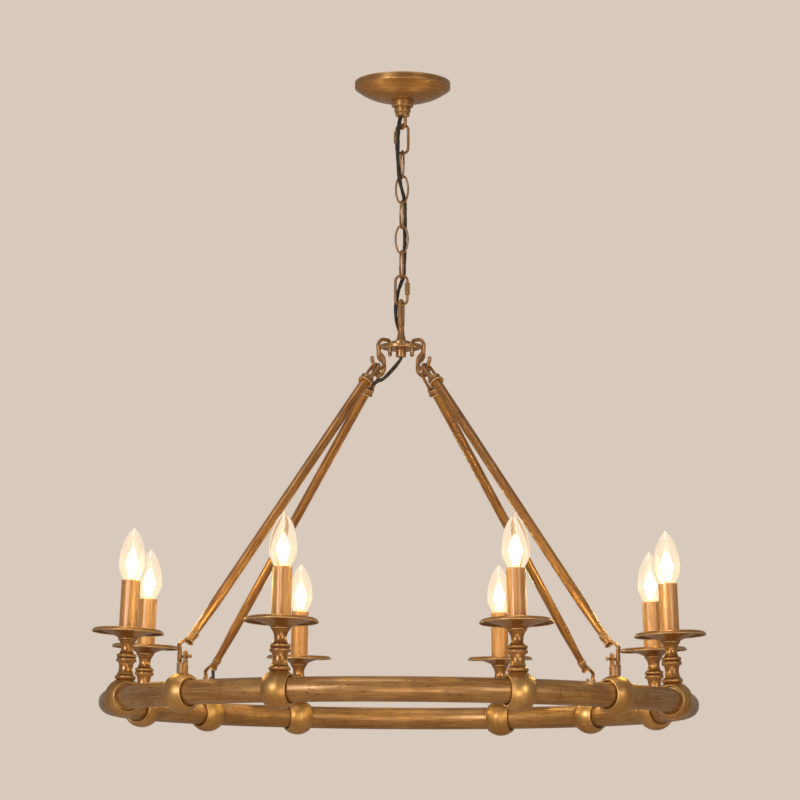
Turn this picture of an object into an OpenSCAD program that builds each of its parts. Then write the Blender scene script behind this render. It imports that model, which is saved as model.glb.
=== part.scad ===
// Wagon wheel chandelier: a ring of steel tube with eight candle lamps, carried by four
// hooked rods from a chain-hung hub. The origin is the middle of the ceiling strap, on the
// ceiling. +Z is up and the side that is seen first faces -Y. Lengths are in millimetres.

/* [Ceiling plate] */
// Length of the mounting strap behind the canopy
strap_l = 112; // [90:1:122]
// Width of the mounting strap
strap_w = 22; // [16:1:30]
// Thickness of the mounting strap
strap_t = 2.5; // [1.5:0.5:4]
// Distance between the middles of the two strap slots
slot_spacing = 80; // [70:1:84]
// Length of each strap slot, end to end
slot_l = 16; // [8:1:18]
// Width of each strap slot
slot_w = 4.8; // [4:0.1:6]
// Outer diameter of the threaded tubes that hold the stacks together
tube_thread_d = 10; // [9:0.5:12]
// Bore of the threaded tubes
thread_bore_d = 7.6; // [6.8:0.1:8]
// Outer diameter of the canopy
canopy_d = 140; // [128:1:180]
// Height of the canopy's upright rim
canopy_rim_h = 9; // [5:0.5:14]
// Depth of the canopy's domed face
canopy_dish = 19.2; // [12:0.2:26]
// Wall of the canopy
canopy_wall = 1.2; // [0.8:0.1:2]
// Outer diameter of the ring nut under the canopy
collar_d = 32; // [29:0.5:40]
// Height of the ring nut
collar_h = 8.6; // [6:0.2:12]

/* [Stem] */
// Diameter of the stem's threaded neck
neck_d = 24.8; // [22:0.2:26]
// Height of the bell under the ring nut
bell_h = 9.6; // [7:0.5:14]
// Diameter of the thin rim under the bell
rim_d = 21.4; // [19:0.2:23]
// Thickness of the stem loop
stem_wire = 5; // [4:0.1:5.6]
// Half width of the stem loop, to the middle of its wire
stem_loop_r = 8.4; // [7.6:0.1:8.8]
// Clear height inside the stem loop
stem_loop_open = 15; // [13:0.5:20]

/* [Chain] */
// Overall length of a chain link
link_len = 43.4; // [38:0.2:60]
// Overall width of a chain link
link_w = 20.8; // [19:0.2:26]
// Wire of a chain link
link_wire = 3; // [2.4:0.1:4]
// Bend radius of a link's ends, to the middle of the wire
link_end_r = 6.2; // [5:0.1:7.5]
// Overall length of a quick link
quick_len = 47.3; // [44:0.1:60]
// Overall width of a quick link
quick_w = 21.3; // [20:0.1:24]
// Wire of a quick link
quick_wire = 4; // [3:0.1:4.6]
// Diameter of a quick link's nut across its corners
quick_nut_d = 8.6; // [7.6:0.1:9.4]
// Length of a quick link's nut
quick_nut_l = 16.6; // [12:0.1:18]
// Width of the gap that the nut closes
quick_gap = 6.4; // [4:0.1:7]
// Turn between one link and the next about the line of the chain, in degrees
link_twist = 75; // [70:1:90]
// Clearance where a hanging piece seats on the one that carries it
seat_gap = 0.3; // [0.2:0.05:0.5]

/* [Hub] */
// Diameter of the hub plate
plate_d = 56; // [52:1:64]
// Thickness of the hub plate
plate_t = 5; // [3:0.5:6]
// Radius of the circle of hook holes in the plate
hook_circle_r = 22.8; // [21:0.1:24]
// Thickness of the hub loop
hub_wire = 6.4; // [5:0.1:7]
// Half width of the hub loop, to the middle of its wire
hub_loop_r = 6.8; // [6.4:0.1:8]
// Clear height inside the hub loop
hub_loop_open = 32; // [26:0.5:44]
// Diameter of the hub's waist
waist_d = 8.6; // [8:0.1:10]
// Diameter of the hub's foot disc
hub_foot_d = 27.4; // [24:0.2:30]
// Height of the hub's bell, from its waist to its foot disc
hub_bell_h = 19.8; // [16:0.2:28]
// Diameter of the nut under the hub plate
hub_nut_d = 15; // [13:0.5:18]
// Height of the nut under the hub plate
hub_nut_h = 12; // [9:0.5:16]

/* [S-hooks] */
// Wire of an S-hook
hook_wire = 5.4; // [4:0.1:6]
// Radius of the upper bend that goes over the plate's edge
hook_arch_r = 12; // [11:0.1:14]
// Radius of the lower bend that holds the rod
hook_seat_r = 11; // [10:0.1:13]
// Radius of the wide bend at the tip
hook_tip_r = 18; // [14:0.5:26]
// How far the lower bend's middle lies under the upper one's
hook_drop = 21.1; // [18:0.1:28]
// How far the lower bend's middle lies further out than the upper one's
hook_reach = 10.2; // [8:0.1:13]
// How far the tail hangs out under the plate
hook_tail = 6.2; // [4:0.1:10]

/* [Rods] */
// Diameter of a rod
rod_d = 13.6; // [11:0.1:16]
// Wall of a rod
rod_wall = 1.8; // [1.2:0.1:2.5]
// Diameter of a rod at the small end of its taper
rod_tip_d = 8.8; // [8:0.1:10]
// Length of the taper at the lower end
taper_l = 62; // [40:1:100]
// Diameter of the open ferrule at the top of a rod
ferrule_d = 19.4; // [17.4:0.1:21]
// Height of the ferrule
ferrule_h = 10.4; // [8:0.2:16]
// Wire of the bail on the ferrule
bail_wire = 4.2; // [3.6:0.1:5]
// Half width of the bail, to the middle of its wire
bail_r = 8.4; // [6.6:0.1:9]
// Height of the bail above the ferrule, to the middle of its wire
bail_h = 28; // [24:0.5:36]
// Thickness of the hinge tongue at the foot of a rod
tongue_t = 3.8; // [3.2:0.1:4.6]
// Diameter of the hinge pins
pin_d = 4; // [3.4:0.1:4.4]
// How far a hinge pin stands out in front of the rod
pin_out = 16.5; // [12:0.5:20]

/* [Wheel] */
// Height from the hub plate's underside to the middle of the wheel's tube
frame_h = 514.4; // [420:1:640]
// Diameter of the wheel, to the middle of its tube
wheel_d = 820; // [700:10:960]
// Outer diameter of the wheel's tube
tube_d = 33.4; // [30:0.2:36]
// Wall of the wheel's tube
tube_wall = 1.6; // [1.2:0.1:2.5]
// Where the first joint of the two half rings lies, in degrees from +X
seam_angle = 120; // [118:1:124]
// Diameter of the ball collars
ball_d = 54; // [50:0.5:58]
// Length of a ball collar along the tube
ball_l = 35; // [28:0.5:40]
// Width of the dark gap between a collar's lip and the tube
lip_gap = 1.8; // [1:0.1:2.2]
// Height of the hinge post that stands on a rod collar
post_h = 14; // [12:0.5:20]
// Diameter of the hinge post
post_d = 15.5; // [14.4:0.1:18]

/* [Candles] */
// Lean of each candle towards the middle, in degrees
candle_lean = 2.6; // [0:0.1:5]
// Height from the middle of the tube to the drip pan's seat
pillar_top = 82; // [76:0.5:100]
// Largest radius of the turned pillar
pillar_r = 14.7; // [13.6:0.1:16]
// Radius of the pillar's narrow neck
neck_r = 8.4; // [7.4:0.1:9]
// Diameter of the drip pan
pan_d = 98; // [84:1:116]
// Height of the drip pan's crest above its seat
pan_h = 12.4; // [8:0.2:18]
// Thickness of the drip pan's sheet
pan_t = 1.3; // [1:0.1:2]
// Outer diameter of the candle sleeve
sleeve_d = 26.4; // [25.6:0.1:30]
// Length of the candle sleeve
sleeve_l = 79; // [72:0.5:100]
// Wall of the candle sleeve
sleeve_wall = 1.1; // [0.8:0.1:1.2]

/* [Bulbs] */
// Diameter of the bulb's glass
bulb_d = 38.5; // [36:0.1:40]
// Height of the glass above the sleeve's mouth
bulb_h = 74; // [66:0.5:84]
// Height of the glass's widest place above the sleeve's mouth
bulb_wide_h = 23; // [20:0.5:28]
// Diameter of the bulb's screw base
base_d = 13.8; // [13.4:0.1:14.2]
// Wall of the bulb's glass
glass_wall = 0.9; // [0.7:0.1:1.3]

/* [Cord] */
// Diameter of the cord
cord_d = 5.8; // [5:0.1:6.2]

/* [Hidden] */
// Every curve is a true one; this only sets how finely it is drawn on screen.
$fn = 64;
fit = 0.05;
hook_fit = 0.08;
run_gap = 0.3;
side_count = 4;
lamp_count = 8;
link_count = 5;

// The stack under the ceiling, from the canopy down to the chain.
canopy_seat_r = 17;
function dome_fall(r) = -canopy_rim_h - canopy_dish * (1 - pow(2 * r / canopy_d, 3));
collar_top = dome_fall(canopy_seat_r);
bell_top = collar_top - collar_h;
rim_top = bell_top - bell_h;
rim_h = 3;
loop_top = rim_top - rim_h - 1.6;
stem_bar = loop_top - stem_loop_open;
neck_top = collar_top + 8;
stem_turn = -60;
stem_lift = 0.3;

// The chain: the height of each piece's middle, from the top down.
quick_1_z = stem_bar + stem_lift + seat_gap + quick_wire - quick_len / 2;
quick_drop = quick_len - 2 * quick_wire - seat_gap;
link_drop = link_len - 2 * link_wire - seat_gap;
chain_top = stem_bar + stem_lift - quick_drop;
function link_z(i) = chain_top - i * link_drop + seat_gap + link_wire - link_len / 2;
chain_bottom = chain_top - link_count * link_drop;
quick_2_z = chain_bottom + seat_gap + quick_wire - quick_len / 2;
hub_bar = chain_bottom - quick_drop;

// The hub: the inner top of its loop hangs on the lower quick link.
hub_loop_top = hub_bar + seat_gap;
hub_loop_bottom = hub_loop_top - hub_loop_open;
waist_z = hub_loop_bottom - hub_wire / 2 - 1;
hub_foot_h = 6;
plate_top = waist_z - hub_bell_h - hub_foot_h;
plate_bottom = plate_top - plate_t;
wheel_z = plate_bottom - frame_h;
wheel_r = wheel_d / 2;
hook_hole_d = hook_wire + 2 * hook_fit;

// An S-hook lies in an upright plane through the axis: [radius, height] of its bends.
arch_c = [hook_circle_r + hook_arch_r, plate_bottom - 2.3];
hook_rise_r = arch_c[1] + hook_arch_r - (plate_top - 0.6);
rise_c = [hook_circle_r + hook_rise_r, plate_top - 0.6];
seat_c = [arch_c[0] + hook_reach, arch_c[1] - hook_drop];
pull_angle = 50;
tip_end = -5;
tip_c = seat_c + (hook_seat_r - hook_tip_r) * [cos(pull_angle), -sin(pull_angle)];
arch_end = [arch_c[0] + hook_arch_r, arch_c[1]];
seat_start = [seat_c[0] - hook_seat_r, seat_c[1]];
sway = arch_end[0] - seat_start[0];
sway_angle = 2 * atan2(sway, hook_drop);
sway_r = sway / (2 * (1 - cos(sway_angle)));
sway_mid = (arch_end + seat_start) / 2;
seat_end = seat_c + hook_seat_r * [cos(pull_angle), -sin(pull_angle)];

// A rod runs from its bail's top to its foot beside the hinge pin.
bail_seat = hook_seat_r - hook_wire / 2 - bail_wire / 2 - seat_gap;
bail_top = seat_c + bail_seat * [cos(pull_angle), -sin(pull_angle)];
pin_rise = ball_d / 2 + post_h + 7.2;
pin_at = [wheel_r, wheel_z + pin_rise];
foot_at = pin_at + [-18, 29];
rod_run = foot_at - bail_top;
rod_len = norm(rod_run);
rod_angle = atan2(-rod_run[1], rod_run[0]);
rod_dir = rod_run / rod_len;
rod_side = [-rod_dir[1], rod_dir[0]];
rod_bore_d = rod_d - 2 * rod_wall;
rod_tip_bore_d = cord_d + 0.9;
ferrule_top = bail_h;
ferrule_bottom = bail_h + ferrule_h;
rod_start = ferrule_top + 3;
ear_t = 2.4;
ear_gap = 9.6;
ear_w = 7;
ear_top = pin_rise + 8.4;
cord_hole_r = wheel_r - 11.6;

// Heights along a candle, from the middle of the wheel's tube.
pan_floor = pillar_top + pan_t;
sleeve_top = pan_floor + sleeve_l;
socket_top = sleeve_top - 8.4;
socket_r = sleeve_d / 2 - sleeve_wall - 0.4;
socket_bottom = pan_floor + 7;
thread_top = socket_bottom + 6;
base_len = 25.5;
base_seat = socket_top - base_len - seat_gap;
tip_h = 4;

// Places round the wheel, in degrees from +X.
function lamp_angle(i) = 22.5 + 45 * i;
function rod_place(i) = 45 + 90 * i;

// The upper cord's route beside the chain: [x, y, share of the drop from stem to hub in %].
beside_chain = [
  [-0.6, -0.9, 0], [-2.2, -3.2, 1.8], [-3.9, -5.9, 3.4], [-4.9, -7.7, 5.4], [-5.6, -8.3, 8],
  [-6.2, -8.4, 12], [-6.6, -8.4, 16], [-6.4, -8.1, 20], [-5.5, -7.8, 24], [-4.5, -7.2, 27],
  [-3.4, -6.3, 29], [-1.8, -3.3, 31.4], [0.5, 0.2, 33.8], [2.7, 3.2, 36], [4.1, 5.7, 38.4],
  [4.8, 6.5, 42], [4.7, 6.4, 47], [4.4, 6.1, 52], [4.4, 6.1, 57], [4.3, 6.5, 61],
  [4, 7.5, 64.5], [3.7, 8.6, 68], [2.6, 9.5, 70], [0.6, 9.7, 72], [-4, 8.4, 76],
  [-7.1, 7.5, 80.6], [-8.1, 7, 85], [-7.2, 7.8, 88.4], [-4.6, 9.2, 91.2], [-2, 8.5, 93.6],
  [0, 4.3, 96], [0, 0.4, 98], [0, 0, 99]
];
chain_fall = rim_top - plate_top;
cord_spread = link_w / 20.8;
upper_route = concat(
  [[0, 0, -2], [0, 0, bell_top + 6], [0, 0, rim_top + 4]],
  [for (p = beside_chain)
    [cord_spread * p[0], cord_spread * p[1], rim_top - chain_fall * p[2] / 100]]
);

// The lower cord's route in the plane of the rear left rod: [radius, height].
nut_bottom = plate_bottom - hub_nut_h;
ferrule_at = bail_top + bail_h * rod_dir;
hole_at = [cord_hole_r, wheel_z + tube_d / 2 - 3];
lower_route = concat(
  [[0, plate_top + 2], [0, plate_bottom], [0, nut_bottom - 1]],
  [for (p = [[3, -5.4], [12, -12.6], [25, -21.6], [36, -28]]) [p[0], nut_bottom + p[1]]],
  [for (p = [[-21, 7.4], [-10.8, 4.5], [-4.4, 1.9]]) ferrule_at + p],
  [for (s = [1, 6]) ferrule_at + s * rod_dir],
  [for (s = [0.1 : 0.1 : 0.9]) ferrule_at + s * (foot_at - ferrule_at)],
  [foot_at - 6 * rod_dir, foot_at + 4 * rod_dir, foot_at + 11 * rod_dir],
  [hole_at + [-0.2, 36], hole_at + [0, 26], hole_at]
);

bronze = [0.56, 0.37, 0.18];
gold = [0.76, 0.58, 0.30];
zinc = [0.72, 0.70, 0.66];
glass = [1, 0.95, 0.85, 0.45];
black = [0.08, 0.08, 0.08];

// ---- Shared shapes ----

// A round wire bent in the XZ plane about c, from angle a0 to angle a1.
module bend(c, r, a0, a1, wire)
  translate([c[0], 0, c[1]])
    rotate([90, 0, 0])
      rotate_extrude(angle = a1 - a0, start = a0)
        translate([r, 0])
          circle(d = wire);

// The angle that shortens a bend of radius r by a hair, so that a knuckle can join it.
function hair(r) = 1.2 / r;

// A bend that ends a hair short of its joints with the next bends.
module open_bend(c, r, a0, a1, wire) bend(c, r, a0 + hair(r), a1 - hair(r), wire);

// A joint between two bends at p: a ball that stands out of the wire by a hair.
module knuckle(p, wire)
  translate([p[0], 0, p[1]])
    sphere(d = wire + 0.1);

// A round bar of diameter d between two heights on the Z axis, with x its offset.
module upright(x, z0, z1, d)
  translate([x, 0, z0])
    cylinder(d = d, h = z1 - z0);

// A hollow round bar between two heights on the Z axis.
module pipe(z0, z1, outer_d, inner_d)
  difference() {
    upright(0, z0, z1, outer_d);
    upright(0, z0 - 1, z1 + 1, inner_d);
  }

// A hexagonal nut between two heights, measured across its corners.
module hex_nut(z0, z1, across, bore)
  difference() {
    translate([0, 0, z0])
      cylinder(d = across, h = z1 - z0, $fn = 6);
    upright(0, z0 - 1, z1 + 1, bore);
  }

// A flat bar of the XY plane from p to q, w wide, with round ends.
module stroke(p, q, w) {
  run = norm(q - p);
  side = [-(q - p)[1], (q - p)[0]] / run * w / 2;
  polygon([p + side, p - side, q - side, q + side]);
  translate(p) circle(d = w);
  translate(q) circle(d = w);
}

// Puts a shape at an angle round the axis of the chandelier.
module round_at(angle)
  rotate([0, 0, angle])
    children();

// Puts a shape on the wheel's tube at an angle, upright.
module on_wheel(angle)
  round_at(angle)
    translate([wheel_r, 0, wheel_z])
      children();

// Puts a shape on the wheel's tube at an angle, leaning as the candles do.
module at_lamp(i)
  on_wheel(lamp_angle(i))
    rotate([0, -candle_lean, 0])
      children();

// Puts a shape along a rod: its bail's top at the origin and the rod down -Z.
module along_rod(i)
  round_at(rod_place(i))
    along_rod_plane()
      children();

// ---- Under the ceiling ----

module mounting_strap() color(zinc)
  difference() {
    translate([-strap_l / 2, -strap_w / 2, -strap_t])
      cube([strap_l, strap_w, strap_t]);
    for (side = [-1, 1])
      translate([side * slot_spacing / 2, 0, -strap_t - 1])
        linear_extrude(strap_t + 2)
          stroke([-(slot_l - slot_w) / 2, 0], [(slot_l - slot_w) / 2, 0], slot_w);
    upright(0, -strap_t - 1, 1, tube_thread_d + 2 * fit);
    upright(slot_spacing / 4, -strap_t - 1, 1, 4 + 2 * fit);
  }

module ground_screw() color([0.35, 0.55, 0.30])
  translate([slot_spacing / 4, 0, 0]) {
    upright(0, -strap_t - 6, 0, 4);
    difference() {
      upright(0, -strap_t - 2.6, -strap_t, 7.6);
      translate([-5, -0.5, -strap_t - 3.6])
        cube([10, 1, 2]);
    }
  }

module ceiling_nipple() color(zinc)
  pipe(bell_top - bell_h + 2, -0.6, tube_thread_d, thread_bore_d);

module nipple_nuts() color(zinc) {
  hex_nut(-strap_t - 4, -strap_t, 19, tube_thread_d + 2 * fit);
  hex_nut(neck_top, neck_top + 4, 19, tube_thread_d + 2 * fit);
}

// The stem: a threaded neck, a bell with a thin rim, and a loop that the chain hangs from.
module stem_loop() color(bronze)
  difference() {
    union() {
      upright(0, bell_top - 1, neck_top, neck_d);
      rotate_extrude() stem_profile();
      rotate([0, 0, stem_turn])
        stem_ring();
    }
    upright(0, rim_top + 1.9, neck_top + 1, tube_thread_d + 2 * fit);
    upright(0, loop_top - 3, rim_top + 3, cord_d + 2.4);
    cord_mouth();
  }

module stem_profile() {
  bell_r = neck_d / 2 - 0.4;
  corner = 3.4;
  translate([0, rim_top + corner]) square([bell_r, bell_h - corner]);
  translate([0, rim_top]) square([bell_r - corner, corner + 1]);
  translate([bell_r - corner, rim_top + corner]) circle(r = corner);
  translate([0, rim_top - rim_h]) square([rim_d / 2 - rim_h / 2, rim_h]);
  translate([rim_d / 2 - rim_h / 2, rim_top - rim_h / 2]) circle(d = rim_h);
  translate([0, loop_top]) square([rim_d / 2 - 1.6, rim_h + 1]);
}

module stem_ring() {
  ring_z = stem_bar - stem_wire / 2 + stem_loop_r;
  bend([0, ring_z], stem_loop_r, 180, 360, stem_wire);
  for (side = [-1, 1])
    upright(side * stem_loop_r, ring_z, loop_top + 2, stem_wire);
}

// The slanted mouth that lets the cord out beside the loop.
module cord_mouth()
  translate([0, 0, rim_top + 1])
    rotate([0, 26, 56])
      upright(0, -12, 0, cord_d + 2.2);

module canopy() color(bronze)
  difference() {
    rotate_extrude() canopy_profile();
    upright(0, collar_top - 1, collar_top + canopy_wall + 1, neck_d + 1);
  }

canopy_steps = 14;

// Points of the dome from its seat out to radius edge_r, raised by lift.
function dome_line(edge_r, lift) = [for (k = [0 : canopy_steps])
  let (r = canopy_seat_r + (edge_r - canopy_seat_r) * sin(90 * k / canopy_steps))
  [r, dome_fall(r) + lift]];

// The upright rim, a dome that curves in fastest near the rim, and a flat seat in its middle.
module canopy_profile() {
  rim_r = canopy_d / 2;
  inner_r = rim_r - canopy_wall;
  lining = dome_line(inner_r, canopy_wall);
  polygon(concat(
    [[0, collar_top]], dome_line(rim_r, 0), [[rim_r, 0], [inner_r, 0]],
    [for (k = [canopy_steps : -1 : 0]) lining[k]], [[0, collar_top + canopy_wall]]
  ));
}

module canopy_ring_nut() color(bronze)
  difference() {
    rotate_extrude() {
      translate([0, bell_top]) square([collar_d / 2 - 1.2, collar_h]);
      translate([0, bell_top + 1.2]) square([collar_d / 2, collar_h - 2.4]);
      translate([collar_d / 2 - 1.2, bell_top + 1.2]) circle(r = 1.2);
      translate([collar_d / 2 - 1.2, bell_top + collar_h - 1.2]) circle(r = 1.2);
    }
    upright(0, bell_top - 1, collar_top + 1, neck_d + 0.5);
  }

// ---- Chain ----

// A welded oval link: two tight end bends joined by two long side bends.
module oval_link() color(bronze) {
  half_l = (link_len - link_wire) / 2;
  half_w = (link_w - link_wire) / 2;
  end_z = half_l - link_end_r;
  side_r = (pow(half_w, 2) + pow(end_z, 2) - pow(link_end_r, 2)) / (2 * (half_w - link_end_r));
  side_x = side_r - half_w;
  turn = atan2(end_z, side_x);
  joint = [link_end_r * cos(turn), end_z + link_end_r * sin(turn)];
  open_bend([0, end_z], link_end_r, turn, 180 - turn, link_wire);
  open_bend([0, -end_z], link_end_r, 180 + turn, 360 - turn, link_wire);
  open_bend([-side_x, 0], side_r, -turn, turn, link_wire);
  open_bend([side_x, 0], side_r, 180 - turn, 180 + turn, link_wire);
  for (x = [-1, 1], z = [-1, 1])
    knuckle([x * joint[0], z * joint[1]], link_wire);
}

quick_leg_x = (quick_w - quick_wire) / 2;
quick_end_z = (quick_len - quick_w) / 2;
nut_top = quick_end_z - 2.4;
gap_top = nut_top - 0.4;

// A quick link: an oblong bend whose one leg is open, and closed by a threaded nut.
module quick_link(side) color(bronze) {
  bend([0, quick_end_z], quick_leg_x, 0, 180, quick_wire);
  bend([0, -quick_end_z], quick_leg_x, 180, 360, quick_wire);
  upright(-side * quick_leg_x, -quick_end_z, quick_end_z, quick_wire);
  upright(side * quick_leg_x, -quick_end_z, gap_top - quick_gap, quick_wire);
  upright(side * quick_leg_x, gap_top, quick_end_z, quick_wire);
}

module quick_nut(side) color(bronze)
  translate([side * quick_leg_x, 0, 0])
    hex_nut(nut_top - quick_nut_l, nut_top, quick_nut_d, quick_wire + 2 * fit);

module upper_quick_link() translate([0, 0, quick_1_z]) quick_link(-1);
module upper_link_nut() translate([0, 0, quick_1_z]) quick_nut(-1);
module lower_quick_link() translate([0, 0, quick_2_z]) quick_link(1);
module lower_link_nut() translate([0, 0, quick_2_z]) quick_nut(1);

// Links 1, 3 and 5 are seen on edge and links 2 and 4 from the front.
module chain_link(i)
  translate([0, 0, link_z(i - 1)])
    rotate([0, 0, i % 2 == 1 ? -link_twist : 0])
      oval_link();

// ---- Hub ----

// The hub: a tall loop on a waist that flares to a foot disc, bored for the cord.
module hub_loop() color(bronze)
  difference() {
    union() {
      rotate([0, 0, link_twist])
        hub_ring();
      rotate_extrude() hub_profile();
    }
    upright(0, plate_top - 1, plate_top + 7, tube_thread_d + 2 * fit);
    upright(0, plate_top + 2, plate_top + 12, cord_d + 1.6);
    cord_slant();
  }

module hub_ring() {
  top_z = hub_loop_top + hub_wire / 2 - hub_loop_r;
  low_z = hub_loop_bottom - hub_wire / 2 + hub_loop_r;
  bend([0, top_z], hub_loop_r, 0, 180, hub_wire);
  bend([0, low_z], hub_loop_r, 180, 360, hub_wire);
  for (side = [-1, 1])
    upright(side * hub_loop_r, low_z, top_z, hub_wire);
}

// Half the outline of the waist and bell, a hollow curve from the waist to the foot.
module hub_profile() {
  bell_r = waist_d / 2 + 4.5;
  curve_r = 57;
  translate([0, plate_top]) square([hub_foot_d / 2 - 1, hub_foot_h]);
  translate([0, plate_top + 1]) square([hub_foot_d / 2, hub_foot_h - 2]);
  translate([hub_foot_d / 2 - 1, plate_top + 1]) circle(r = 1);
  translate([hub_foot_d / 2 - 1, plate_top + hub_foot_h - 1]) circle(r = 1);
  difference() {
    translate([0, plate_top]) square([bell_r, waist_z + hub_wire / 2 - plate_top]);
    translate([waist_d / 2 + curve_r, waist_z]) circle(r = curve_r, $fn = 128);
  }
}

// The slanted hole that takes the cord into the back of the bell.
module cord_slant()
  translate([0, 0, plate_top + 7])
    rotate([-31, 0, 0])
      upright(0, 0, 30, cord_d + 2.2);

module hub_nipple() color(zinc)
  pipe(plate_bottom - hub_nut_h + 3, plate_top + 6.6, tube_thread_d, thread_bore_d);

module hub_plate() color(bronze)
  difference() {
    rotate_extrude() {
      translate([0, plate_bottom]) square([plate_d / 2 - 1, plate_t]);
      translate([0, plate_bottom + 1]) square([plate_d / 2, plate_t - 2]);
      translate([plate_d / 2 - 1, plate_bottom + 1]) circle(r = 1);
      translate([plate_d / 2 - 1, plate_top - 1]) circle(r = 1);
    }
    upright(0, plate_bottom - 1, plate_top + 1, tube_thread_d + 2 * fit);
    for (i = [0 : side_count - 1])
      round_at(rod_place(i))
        upright(hook_circle_r, plate_bottom - 1, plate_top + 1, hook_hole_d);
  }

module hub_nut() color(bronze) {
  nut_low = plate_bottom - hub_nut_h;
  difference() {
    rotate_extrude() {
      translate([0, nut_low + 1]) square([hub_nut_d / 2, hub_nut_h - 1]);
      translate([0, nut_low]) square([hub_nut_d / 2 - 1, 2]);
      translate([hub_nut_d / 2 - 1, nut_low + 1]) circle(r = 1);
    }
    upright(0, nut_low + 2.9, plate_bottom + 1, tube_thread_d + 2 * fit);
    upright(0, nut_low - 1, plate_bottom, cord_d + 1.6);
  }
}

// An S-hook: tail, bends over the plate, two sway bends, seat and wide tip.
module s_hook() {
  first_c = [arch_end[0] - sway_r, arch_end[1]];
  second_c = [seat_start[0] + sway_r, seat_start[1]];
  upright(hook_circle_r, plate_bottom - hook_tail, rise_c[1], hook_wire);
  bend(rise_c, hook_rise_r, 90, 180, hook_wire);
  translate([rise_c[0], 0, rise_c[1] + hook_rise_r])
    rotate([0, 90, 0])
      cylinder(d = hook_wire, h = arch_c[0] - rise_c[0]);
  bend(arch_c, hook_arch_r, hair(hook_arch_r), 90, hook_wire);
  open_bend(first_c, sway_r, -sway_angle, 0, hook_wire);
  open_bend(second_c, sway_r, 180 - sway_angle, 180, hook_wire);
  open_bend(seat_c, hook_seat_r, 180, 360 - pull_angle, hook_wire);
  open_bend(tip_c, hook_tip_r, -pull_angle, tip_end, hook_wire);
  for (p = [arch_end, sway_mid, seat_start, seat_end])
    knuckle(p, hook_wire);
}

module s_hooks() color(bronze)
  for (i = [0 : side_count - 1])
    round_at(rod_place(i))
      s_hook();

// ---- Rods ----

// A rod: a hollow tube with a long taper, a wrapped and flared end, and a hinge tongue.
module rod(i) color(bronze)
  round_at(rod_place(i))
    difference() {
      union() {
        along_rod_plane()
          rotate_extrude() rod_profile();
        tongue();
      }
      along_rod_plane()
        rotate_extrude() bore_profile();
      across_pin(tongue_t + 2, pin_d + 2 * fit, 0);
    }

module rod_profile() {
  wrap = 2.6;
  wrap_r = rod_tip_d / 2 + 0.5;
  polygon([
    [0, -rod_start], [rod_d / 2, -rod_start], [rod_d / 2, taper_l - rod_len],
    [rod_tip_d / 2, -rod_len], [rod_tip_d / 2 + 0.4, -rod_len - 5],
    [rod_tip_d / 2 + 2.2, -rod_len - 12], [0, -rod_len - 12]
  ]);
  for (turn = [0, 1])
    translate([wrap_r, -rod_len + turn * 0.88 * wrap]) circle(d = wrap);
}

// Half the outline of the rod's bore, which follows the taper and the flared mouth.
module bore_profile()
  polygon([
    [0, 1 - rod_start], [rod_bore_d / 2, 1 - rod_start],
    [rod_bore_d / 2, taper_l - rod_len], [rod_tip_bore_d / 2, -rod_len],
    [rod_tip_bore_d / 2, -rod_len - 5], [rod_tip_d / 2 + 1.4, -rod_len - 13],
    [0, -rod_len - 13]
  ]);

// The tongue leaves the rod's mouth on its outer side and bends down beside the hinge pin.
module tongue() {
  joint = foot_at + (rod_tip_d / 2 + 0.4) * rod_side - pin_at;
  translate([pin_at[0], tongue_t / 2, pin_at[1]])
    rotate([90, 0, 0])
      linear_extrude(tongue_t) {
        circle(d = pin_d + 5);
        stroke([5, -4.4], [5, 15.6], 4.2);
        stroke([5, 15.6], joint + 7 * rod_dir, 3.6);
        stroke(joint, joint + 7 * rod_dir, 3.4);
      }
}

// Puts a shape along a rod, in the plane of the rod at angle 0.
module along_rod_plane()
  translate([bail_top[0], 0, bail_top[1]])
    rotate([0, rod_angle - 90, 0])
      children();

// A bar along a hinge pin's line, in the plane of a rod at angle 0, its middle at y.
module across_pin(length, d, y)
  translate([pin_at[0], y + length / 2, pin_at[1]])
    rotate([90, 0, 0])
      cylinder(d = d, h = length);

// A bail and its open ferrule, which the top of a rod is set into.
module rod_bail(i) color(bronze)
  along_rod(i)
    difference() {
      union() {
        rotate([0, 0, 90]) bail();
        upright(0, -ferrule_bottom, -ferrule_top, ferrule_d);
        rotate_extrude()
          translate([ferrule_d / 2, -ferrule_bottom + 1.2]) circle(r = 1.2);
      }
      upright(0, -ferrule_bottom - 1, -rod_start, rod_d + 2 * fit);
      upright(0, -ferrule_bottom, -ferrule_top + 0.01, rod_bore_d);
    }

module bail() {
  bend([0, -bail_r], bail_r, 0, 180, bail_wire);
  for (side = [-1, 1])
    upright(side * bail_r, -ferrule_top - 2, -bail_r, bail_wire);
}

// ---- Wheel ----

// The hole that takes the lower cord out of the rear left rod into the wheel.
module cord_bore()
  round_at(rod_place(1))
    upright(cord_hole_r, wheel_z + 2, wheel_z + ball_d, cord_d + 1.2);

// A stretch of ring on the wheel's tube between two angles, with section radius r.
module tube_arc(a0, a1, r)
  translate([0, 0, wheel_z])
    rotate_extrude(angle = a1 - a0, start = a0, $fn = 240)
      translate([wheel_r, 0])
        circle(r = r, $fn = 64);

module wheel_half(start) color(bronze)
  difference() {
    tube_arc(start + 0.03, start + 179.97, tube_d / 2);
    tube_arc(start - 1, start + 181, tube_d / 2 - tube_wall);
    lamp_bores(tube_thread_d + 0.6);
    post_bores(6.4);
    cord_bore();
  }

module lamp_bores(d)
  for (i = [0 : lamp_count - 1])
    at_lamp(i)
      upright(0, 1, ball_d, d);

module post_bores(d)
  for (i = [0 : side_count - 1])
    on_wheel(rod_place(i))
      upright(0, 1, ball_d, d);

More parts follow.
